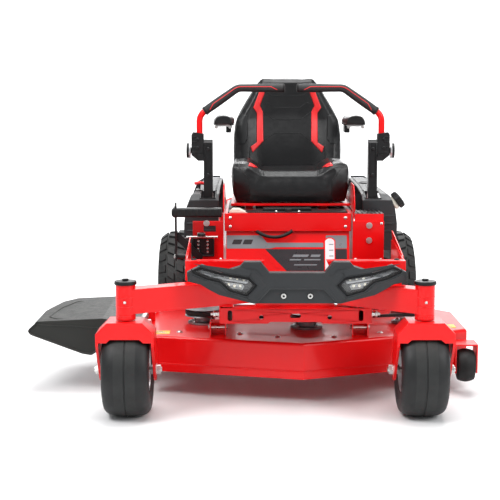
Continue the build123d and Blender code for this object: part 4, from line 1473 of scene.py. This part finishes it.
# The right console carries the key and the blade switch; the left one has a cup holder.
add_turned(
    "key_switch", ((0, 15), (3, 15), (4, 12), (6, 11)), (-0.338, -0.350, 0.7365), (0, 0, 1), BLACK,
    CHASSIS, 32,
)
add_block(
    "ignition_key", (-0.3405, -0.360, 0.742), (-0.3355, -0.340, 0.7595), ALLOY, CHASSIS, 1.5 * MM
)
add_turned(
    "blade_switch", ((0, 17), (4, 17), (5, 9), (9, 9), (10, 16), (16, 15), (17, 11)),
    (-0.338, -0.275, 0.7385), (0, 0, 1), RED_LINE, CHASSIS, 32,
)
add_turned(
    "cup_holder_rim", ((0, 38), (3, 37), (4, 34), (2, 32), (0.5, 12)), (0.345, -0.220, 0.7395),
    (0, 0, 1), BLACK, CHASSIS,
)

add_block(
    "throttle_plate", (-0.388, -0.480, 0.7240), (-0.356, -0.402, 0.7312), BLACK, CHASSIS, 2 * MM
)
handle = rounded_path(
    [(-0.3935, -0.442, 0.755), (-0.372, -0.442, 0.7585), (-0.3505, -0.442, 0.755)], 20 * MM, 6
)
add_tube(
    "throttle_handle", handle, lambda t: (7.4 - 1.4 * abs(2 * t - 1) ** 3) * MM, RED_LINE,
    "throttle", sides=20,
)
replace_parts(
    add_block(
        "throttle_stem", (-0.376, -0.4465, 0.7325), (-0.368, -0.4375, 0.755), BLACK, "throttle",
        1.5 * MM,
    ),
    "throttle_lever",
)

cap_axis = Vector((18.9, 0, 14.8)).normalized()
cap_base = Vector((0.4296, -0.54, 0.6896))
cap_ribs = []
side_vector = cap_axis.cross(Vector((0, 1, 0))).normalized()
for rib in range(20):
    angle = 2 * math.pi * rib / 20
    offset = (math.cos(angle) * side_vector + math.sin(angle) * Vector((0, 1, 0))) * 33.5 * MM
    points = [cap_base + offset + cap_axis * t * MM for t in (3, 6, 12, 18, 20)]
    cap_ribs.append(add_tube(f"rib_{rib}", points, 2.6 * MM, BLACK, "fuel_cap_body", sides=8))
joined("fuel_cap_ribs", cap_ribs, BLACK, "fuel_cap_body")
add_turned(
    "fuel_cap_top", ((22.5, 29), (25.5, 26), (26.5, 18), (25, 12), (25, 2)), cap_base, cap_axis,
    BLACK, "fuel_cap_body", 40,
)
add_turned(
    "fuel_neck_ring", ((-16, 26), (-14, 29), (-4, 29), (-1, 25)), cap_base, cap_axis, CREAM,
    CHASSIS, 40,
)

ridges = [(0.256 + index * 0.017, 0.256 + index * 0.017 + 0.007) for index in range(6)]
ledge_parts = [
    add_block(
        f"ridge_{index}", (x0, -0.758, 0.6622), (x1, -0.648, 0.6665), BLACK, CHASSIS, 1.2 * MM
    )
    for index, (x0, x1) in enumerate(ridges)
]
ledge_parts.append(add_block(
    "ledge_pad", (0.248, -0.7615, 0.6600), (0.357, -0.641, 0.6635), BLACK, CHASSIS, 1.5 * MM
))
joined("console_ledge_pad", ledge_parts, BLACK, CHASSIS)


# ------------------------------------------------------------------ lift pedal and height pin
pad_starts = [-0.450 + index * 0.025 for index in range(7)]
add_boxes(
    "pedal_pad_ribs", [((x, -0.8460, 0.661), (x + 0.012, -0.8435, 0.687)) for x in pad_starts],
    RUBBER, "pedal", 1.2 * MM,
)
add_turned(
    "pedal_pad_end", ((-2, 15), (2, 14.6), (5, 11), (5.4, 1)), (-0.459, -0.828, 0.674), (-1, 0, 0),
    RUBBER, "pedal", 32,
)
add_bolts(
    "pedal_bolts", ((-0.4522, -0.826, 0.690), (-0.4522, -0.806, 0.500)), (-1, 0, 0), 7, "pedal"
)

add_turned(
    "pin_knob", ((0.5, 15.5), (2, 16.6), (7, 16.4), (11, 13), (13, 7), (13.5, 1)),
    (-0.352, -0.780, 0.578), (0, 0, 1), BLACK, "pin", 36,
)
clip = rounded_path(
    [
        (-0.405, -0.784, 0.573), (-0.418, -0.790, 0.569), (-0.424, -0.790, 0.556),
        (-0.412, -0.788, 0.549), (-0.398, -0.786, 0.560),
    ],
    5 * MM, 5,
)
add_tube("pin_spring_clip", clip, 1.6 * MM, ZINC, "pin", sides=8)
joined(
    "height_plate_eyelets",
    [
        add_turned(
            f"hole_{row}_{column}", ((0, 4.6), (0.9, 4.4), (0.5, 3), (0.2, 1)),
            (-0.364 + column * 0.036, -0.7738, 0.515 + row * 0.014), (0, -1, 0), ZINC, CHASSIS, 20,
        )
        for row in range(4)
        for column in range(2)
    ],
    ZINC, CHASSIS,
)


# ------------------------------------------------------------------ casters and front rail
for side_name, side_sign in SIDES:
    body = f"caster_{side_name}"
    wheel = f"caster_wheel_{side_name}"
    cap_low, cap_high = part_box(f"caster_cap_{side_name}")
    pivot = Vector(((cap_low[0] + cap_high[0]) / 2, (cap_low[1] + cap_high[1]) / 2, 0.4785))
    add_turned(
        f"grease_cap_{side_name}", ((0, 37.5), (2, 39), (8, 38.5), (11.5, 34), (13, 26), (13.2, 1)),
        pivot, (0, 0, 1), BLACK, body,
    )
    joined(
        f"pivot_tube_rings_{side_name}",
        [
            add_turned(
                f"ring_{z}", ((-1.5, 34), (-0.9, 35), (0.9, 35), (1.5, 34)), (pivot.x, pivot.y, z),
                (0, 0, 1), SATIN, CHASSIS,
            )
            for z in (0.372, 0.404, 0.436)
        ],
        RED, CHASSIS,
    )
    add_turned(
        f"grease_nipple_{side_name}", ((0, 5), (4, 5), (5, 3), (8, 3), (10, 4), (12, 2)),
        (pivot.x, pivot.y - 0.033, 0.420), (0, -1, 0), ZINC, CHASSIS, 16,
    )
    hub = middle_of(f"caster_rim_{side_name}")
    axle_parts = []
    for end in (-1, 1):
        axle_parts.append(add_turned(
            f"washer_{end}", ((0, 20), (1.6, 20), (2.2, 18)), (hub.x + end * 0.1002, hub.y, hub.z),
            (end, 0, 0), ZINC, body, 32,
        ))
        axle_parts.append(add_turned(
            f"thread_{end}", ((0, 9.5), (3, 9.5), (4.5, 8), (4.8, 1)),
            (hub.x + end * 0.115, hub.y, hub.z), (end, 0, 0), ZINC, body, 28,
        ))
    joined(f"axle_washers_{side_name}", axle_parts, ZINC, body)
    joined(
        f"axle_spacers_{side_name}",
        [
            add_turned(
                f"spacer_{end}", ((0, 15), (1, 17), (9, 17), (10, 14)),
                (hub.x + end * 0.0785, hub.y, hub.z), (end, 0, 0), SILVER, body, 28,
            )
            for end in (-1, 1)
        ],
        SILVER, body,
    )
    add_turned(
        f"valve_stem_{side_name}", ((0, 4.2), (14, 3.6), (15, 4.6), (24, 4.4), (26, 2)),
        (hub.x + side_sign * 0.040, hub.y + 0.048, hub.z), (side_sign, 0.25, 0), RUBBER, wheel, 16,
    )

HANGER_STACK = ((0.2722, 5, 13), (0.2772, 8, 9), (0.2850, 9, 12), (0.2935, 10, 6))
for side_name, side_sign in SIDES:
    joined(
        f"frame_end_bolt_{side_name}",
        [
            add_turned(
                f"part_{start}",
                ((0, size * 0.9), (1, size), (length - 1, size), (length, size * 0.85)),
                (side_sign * start, -1.196, 0.347), (side_sign, 0, 0), ZINC, CHASSIS, 6,
            )
            for start, length, size in HANGER_STACK
        ],
        ZINC, CHASSIS,
    )
add_boxes(
    "bumper_stays", [((x - 0.022, -1.306, 0.428), (x + 0.022, -1.186, 0.434)) for x in (-0.1, 0.1)],
    RED, CHASSIS, 1.5 * MM,
)


# ------------------------------------------------------------------ deck
DECK_EDGE = ((-560, -1000), (32, -1159), (590, -936), (672, -880), (672, -520))


def deck_front_line(out, z, first, last, step=12):
    """Points along the deck's front edge between two x values, pushed out of the wall."""
    line = []
    x = first
    while x <= last:
        for (x0, y0), (x1, y1) in zip(DECK_EDGE, DECK_EDGE[1:]):
            if x0 <= x <= x1 and x1 > x0:
                y = y0 + (y1 - y0) * (x - x0) / (x1 - x0)
                line.append(Vector((x, y - out, z)) * MM)
                break
        x += step
    return line


add_tube("deck_weld_bead", deck_front_line(0.5, 126, -556, 668), 2.4 * MM, RED, "deck", sides=8)
DECK_BOLTS = (
    (-0.200, -0.980), (-0.060, -1.040), (0.150, -1.040), (0.330, -0.960), (0.520, -0.880),
    (-0.430, -0.950),
)
add_bolts("deck_top_bolts", [(x, y, 0.2302) for x, y in DECK_BOLTS], (0, 0, 1), 10, "deck")
BRACKETS = (-0.282, 0.248)
bracket_heads = [
    make_bolt_head(f"head_{x}_{edge}", (x + edge * 0.0312, -1.008, 0.262), (edge, 0, 0), 9, "deck")
    for x in BRACKETS
    for edge in (-1, 1)
]
joined("deck_bracket_bolts", bracket_heads, ZINC, "deck")
joined(
    "deck_hanger_pins",
    [
        add_turned(
            f"pin_{x}", ((-25, 7), (25, 7), (25.5, 5)), (x, -1.008, 0.262), (1, 0, 0), ZINC, "deck",
            24,
        )
        for x in BRACKETS
    ],
    ZINC, "deck",
)
spindle_spots = []
for blade_name in ("blade_right", "blade_centre", "blade_left"):
    hub = middle_of(blade_name)
    for index in range(4):
        angle = math.pi / 2 * index + math.pi / 4
        spindle_spots.append(
            hub + Vector((0.050 * math.cos(angle), 0.050 * math.sin(angle), 0.2382 - hub.z))
        )
joined(
    "spindle_bolts",
    [
        make_bolt_head(f"head_{index}", spot, (0, 0, 1), 7, "deck")
        for index, spot in enumerate(spindle_spots)
    ],
    ZINC, "deck",
)
LABEL_SPOTS = ((-0.500, -0.952), (0.600, -0.830))
add_boxes(
    "deck_labels",
    [((x - 0.034, y - 0.030, 0.2303), (x + 0.034, y + 0.030, 0.2311)) for x, y in LABEL_SPOTS],
    LABEL, "deck", 0.3 * MM,
)
add_boxes(
    "deck_label_bars",
    [
        (
            (x - 0.026, y - 0.018 + row * 0.015, 0.2311),
            (x + 0.022 - row * 0.008, y - 0.011 + row * 0.015, 0.2315),
        )
        for x, y in LABEL_SPOTS
        for row in range(3)
    ],
    DECAL_DARK, "deck", 0.2 * MM,
)
add_prism(
    "caster_arm_label", ((-0.022, 0.442), (0.022, 0.442), (0.022, 0.458), (-0.022, 0.458)),
    lambda u, v,
    w: Vector((-0.505, -1.298, 0)) + Vector(
        (u * 0.88, u * 0.475, v)
    ) + Vector((0.475, -0.88, 0)) * (0.0006 - w),
    0.0006, LABEL, CHASSIS, 0,
)

roller = middle_of("deck_roller")
add_lathe(
    "roller_grooves",
    [
        (x * MM, (62.2 - 0.0085 * x * x) * MM + (0.9 * MM if i % 2 else 0))
        for i, x in enumerate(range(-30, 31, 4))
    ],
    roller, (1, 0, 0), RUBBER, "deck_roller_body", 56,
)


# ------------------------------------------------------------------ discharge chute
CHUTE_TOP = ((-586, 262), (-720, 286), (-845, 280), (-970, 274), (-1003, 237))


def chute_top(x):
    for (x0, z0), (x1, z1) in zip(CHUTE_TOP, CHUTE_TOP[1:]):
        if x >= x1:
            return z0 + (z1 - z0) * (x - x0) / (x1 - x0)
    return 237


pad_outline = ((-650, -930), (-900, -930), (-935, -880), (-915, -700), (-870, -560), (-650, -560))
pad_corners = [
    Vector((x, y, chute_top(x) + 0.5)) * MM
    for x, y in (*pad_outline, pad_outline[0], pad_outline[1])
]
add_tube(
    "chute_top_emboss", rounded_path(pad_corners, 24 * MM, 5), 1.8 * MM, CHUTE, "chute", sides=8
)
front_edge = [
    Vector((x, -966.5, z)) * MM
    for x, z in (
        (-642, 241), (-700, 191.5), (-763, 148.5), (-797, 153.5), (-989, 225), (-1002, 237),
        (-967, 270.5),
    )
]
add_tube("chute_front_lip", rounded_path(front_edge, 9 * MM, 5), 3.6 * MM, CHUTE, "chute", sides=10)
crease = [
    Vector((x, -967.0, z)) * MM
    for x, z in ((-968, 262), (-845, 258), (-740, 250), (-655, 232))
]
add_tube("chute_front_crease", rounded_path(crease, 20 * MM, 4), 2.2 * MM, CHUTE, "chute", sides=8)
COIL_STEPS = 16 * 24
coil = []
for step in range(COIL_STEPS + 1):
    angle = 2 * math.pi * step / 24
    along = -0.905 + 0.150 * step / COIL_STEPS
    coil.append((-0.574 + 0.0115 * math.cos(angle), along, 0.262 + 0.0115 * math.sin(angle)))
add_tube("chute_spring", coil, 2.0 * MM, ZINC, "deck", sides=8)
spring_leg = [(-0.5625, -0.905, 0.262), (-0.556, -0.935, 0.252), (-0.548, -0.952, 0.236)]
add_tube("chute_spring_leg", rounded_path(spring_leg, 6 * MM, 5), 2.0 * MM, ZINC, "deck", sides=8)
joined(
    "chute_hinge_ends",
    [
        add_turned(
            f"end_{y}", ((0, 9), (3, 9), (4.5, 6), (4.8, 1)), (-0.574, y, 0.262), (0, facing, 0),
            ZINC, "deck", 24,
        )
        for y, facing in ((-0.930, -1), (-0.500, 1))
    ],
    ZINC, "deck",
)
joined(
    "chute_knuckles",
    [
        add_turned(
            f"knuckle_{y}", ((-26, 11.5), (-25, 12.5), (25, 12.5), (26, 11.5)), (-0.582, y, 0.262),
            (0, 1, 0), CHUTE, "chute", 24,
        )
        for y in (-0.640, -0.570)
    ],
    CHUTE, "chute",
)


# ------------------------------------------------------------------ engine and back end
cover_mid = middle_of("engine_cover")
grille = []
for index in range(9):
    angle = 2 * math.pi * index / 9
    for radius in (0.030, 0.052, 0.074):
        points = [
            Vector((
                cover_mid.x + radius * math.cos(angle + k * 0.09),
                cover_mid.y + radius * math.sin(angle + k * 0.09), 0.6712,
            ))
            for k in range(6)
        ]
        grille.append(add_tube(f"bar_{index}_{radius}", points, 2.0 * MM, ALLOY, CHASSIS, sides=6))
joined("fan_screen_bars", grille, ALLOY, CHASSIS)
add_turned(
    "fan_screen_rim", ((0, 99), (2, 101), (5, 99), (5.5, 92), (3, 90), (1, 88)),
    (cover_mid.x, cover_mid.y, 0.6655), (0, 0, 1), BLACK, CHASSIS, 64,
)
fin_heights = [0.404 + index * 0.0115 for index in range(11)]
add_boxes(
    "cylinder_fins",
    [
        mirrored_box(sign, (0.146, 0.176), (0.070, 0.250), (z, z + 0.0035))
        for sign in (-1, 1)
        for z in fin_heights
    ],
    ALLOY, CHASSIS, 1 * MM,
)
add_turned(
    "oil_filter", ((0, 30), (4, 36), (8, 38), (70, 38), (78, 34), (80, 10)), (-0.092, 0.318, 0.424),
    (-0.35, 1, 0), BLACK, CHASSIS, 40,
)
add_turned(
    "air_filter_cap", ((0, 62), (6, 64), (18, 62), (26, 50), (28, 14), (34, 12), (36, 4)),
    (0.095, 0.285, 0.5950), (0, 0.25, 1), BLACK, CHASSIS,
)
add_turned(
    "dipstick_cap", ((0, 12), (3, 16), (12, 16), (16, 12), (17, 2)), (-0.155, 0.060, 0.538),
    (0, 0, 1), LABEL, CHASSIS, 28,
)
MUFFLER_Y = 0.372
MUFFLER_Z = 0.470
joined(
    "muffler_bands",
    [
        add_turned(
            f"band_{x}", ((-4, 44), (-3, 46), (3, 46), (4, 44)), (x, MUFFLER_Y, MUFFLER_Z),
            (1, 0, 0), STEEL, CHASSIS,
        )
        for x in (-0.148, -0.070, 0.070, 0.148)
    ],
    STEEL, CHASSIS,
)
louvres = []
for index in range(8):
    x = -0.055 + index * 0.0157
    points = [
        Vector((
            x, MUFFLER_Y + 0.0455 * math.cos(math.radians(turn)),
            MUFFLER_Z + 0.0455 * math.sin(math.radians(turn)),
        ))
        for turn in range(-40, 50, 15)
    ]
    louvres.append(add_tube(f"louvre_{index}", points, 2.2 * MM, STEEL, CHASSIS, sides=6))
joined("muffler_louvres", louvres, STEEL, CHASSIS)
STRAP_LINE = (
    (0.300, 0.7420), (0.360, 0.7420), (0.402, 0.7155), (0.4205, 0.668), (0.4290, 0.610),
    (0.4295, 0.560),
)
for side_name, side_sign in SIDES:
    rib_starts = [-0.070 + index * 0.030 for index in range(6)]
    add_boxes(
        f"transaxle_ribs_{side_name}",
        [
            mirrored_box(side_sign, (0.128, 0.222), (y, y + 0.005), (0.186, 0.314))
            for y in rib_starts
        ],
        ALLOY, CHASSIS, 1.2 * MM,
    )
    add_bolts(
        f"guard_bracket_bolts_{side_name}",
        [(side_sign * 0.3184, y, z) for y in (0.310, 0.370) for z in (0.334, 0.358)],
        (side_sign, 0, 0), 9, CHASSIS,
    )
    strap = [Vector((side_sign * x, 0.130, z)) for x, z in STRAP_LINE]
    add_tube(
        f"console_strap_{side_name}", rounded_path(strap, 8 * MM, 4), 4 * MM, BLACK, CHASSIS,
        sides=8,
    )


# ------------------------------------------------------------------ under the seat
# The black plates and stop block are painted shade: a dark sheet over the shelf top standing in for
# the shaded open space under the seat, with bolts and a damper on it.
shade_sheet_parts = [
    add_block(f"tray_{index}", (*low, 0.6632), (*high, 0.6672), BLACK, CHASSIS, 1.5 * MM)
    for index, (low, high) in enumerate((
        ((-0.250, -0.740), (0.220, -0.640)), ((-0.140, -0.640), (0.110, -0.190)),
        ((0.155, -0.640), (0.220, -0.190)), ((-0.250, -0.640), (-0.185, -0.190)),
    ))
]
shade_sheet_parts.append(
    add_block("stop", (-0.110, -0.700, 0.6660), (0.080, -0.660, 0.6790), BLACK, CHASSIS, 2 * MM)
)
joined("under_seat_painted_shade", shade_sheet_parts, BLACK, CHASSIS)
add_turned(
    "seat_damper", ((0, 12), (2, 14), (11, 14), (13, 11)), (-0.012, -0.725, 0.6665), (0, 0, 1),
    RUBBER, CHASSIS, 32,
)
add_bolts(
    "under_seat_bolts", [(x, -0.728, 0.6672) for x in (-0.060, 0.030, -0.200)], (0, 0, 1), 6, CHASSIS, 5
)
add_prism(
    "tank_shoulder", ((-0.246, 0.6635), (-0.172, 0.6635), (-0.206, 0.6795), (-0.232, 0.6795)),
    lambda u, v, w: Vector((u, -0.744 + w, v)), 0.05, CREAM, CHASSIS, 2 * MM,
)
bracket_outline = rounded_outline(
    (
        (-0.752, 0.6640), (-0.752, 0.705), (-0.700, 0.770), (-0.560, 0.770), (-0.400, 0.720),
        (-0.300, 0.664),
    ),
    0.030, 5,
)
for side_name, bracket_x in (("right", -0.268), ("left", 0.244)):
    add_prism(
        f"seat_side_bracket_{side_name}", bracket_outline, lambda u, v, w,
        x0=bracket_x: Vector((x0 + w, u, v)), 0.004, RED, CHASSIS,
    )
add_boxes(
    "seat_slide_rails",
    [((x - 0.013, -0.560, 0.6876), (x + 0.013, -0.200, 0.6905)) for x in (-0.165, 0.135)], STEEL,
    "seat", 1 * MM,
)
HINGE_SPOTS = (-0.150, 0.150)
joined(
    "seat_back_hinges",
    [
        add_turned(
            f"hinge_{x}", ((-30, 11), (-29, 12), (29, 12), (30, 11)), (x, -0.150, 0.700), (1, 0, 0),
            SATIN, "seat", 28,
        )
        for x in HINGE_SPOTS
    ],
    SATIN, "seat",
)
add_boxes(
    "seat_back_struts",
    [((x - 0.016, -0.200, 0.686), (x + 0.016, -0.142, 0.800)) for x in HINGE_SPOTS], SATIN, "seat",
    2 * MM,
)


# ------------------------------------------------------------------ studio
def make_floor():
    shade = Shade("studio_sweep")
    shade.link(
        shade.mix(shade.spread(shade.noise(0.8), 0, 1), (0.80, 0.80, 0.80), (0.84, 0.84, 0.84)),
        shade.shader.inputs["Base Color"],
    )
    shade.link(shade.spread(shade.noise(6), 0.55, 0.7), shade.shader.inputs["Roughness"])
    work = bmesh.new()
    depth = 16.0
    profile = [(-14.0, 0.0), (6.0, 0.0)]
    for step in range(1, 13):
        angle = math.pi / 2 * step / 12
        profile.append((6.0 + 4.0 * math.sin(angle), 4.0 - 4.0 * math.cos(angle)))
    profile.append((10.0, 12.0))
    rows = [[work.verts.new((x, y, z)) for y, z in profile] for x in (-depth, depth)]
    for index in range(len(profile) - 1):
        work.faces.new((rows[0][index], rows[1][index], rows[1][index + 1], rows[0][index + 1]))
    mesh = bpy.data.meshes.new("studio_floor")
    work.to_mesh(mesh)
    work.free()
    floor = bpy.data.objects.new("studio_floor", mesh)
    bpy.context.collection.objects.link(floor)
    mesh.materials.append(shade.mat)
    mesh.shade_smooth()


def add_area(name, at, target, size, power, size_y=None):
    light = bpy.data.lights.new(name, "AREA")
    light.energy = power
    light.size = size
    if size_y:
        light.shape = "RECTANGLE"
        light.size_y = size_y
    lamp = bpy.data.objects.new(name, light)
    lamp.location = at
    lamp.rotation_euler = (Vector(target) - Vector(at)).to_track_quat("-Z", "Y").to_euler()
    bpy.context.collection.objects.link(lamp)


make_floor()
add_area("key_light", (-2.4, -3.4, 4.2), (0, -0.7, 0.4), 2.0, 170)
add_area("fill_light", (3.4, -3.4, 3.0), (0, -0.7, 0.4), 2.2, 110)
add_area("top_light", (0.2, -0.6, 4.8), (0, -0.6, 0.3), 3.2, 210)
add_area("rim_light", (0.5, 3.6, 2.8), (0, 0, 0.6), 2.6, 70, 1.4)
add_area("backdrop_light", (0, 3.4, 6.5), (0, 9.5, 3.0), 7.0, 900, 2.0)
world = bpy.data.worlds.new("studio_air")
world.use_nodes = True
world.node_tree.nodes["Background"].inputs["Color"].default_value = (0.95, 0.97, 1.0, 1)
world.node_tree.nodes["Background"].inputs["Strength"].default_value = 0.5
bpy.context.scene.world = world
bpy.context.scene.view_settings.view_transform = "Standard"

CAMERA_AT = (-0.159, -5.549, 1.159)
CAMERA_PITCH = 7.606
CAMERA_YAW = 0.045
camera = bpy.data.cameras.new("front_camera")
camera.lens = 88.86
camera.sensor_width = 36
camera_object = bpy.data.objects.new("front_camera", camera)
camera_object.location = CAMERA_AT
camera_object.rotation_euler = (math.radians(90 - CAMERA_PITCH), 0, math.radians(CAMERA_YAW))
bpy.context.collection.objects.link(camera_object)
bpy.context.scene.camera = camera_object
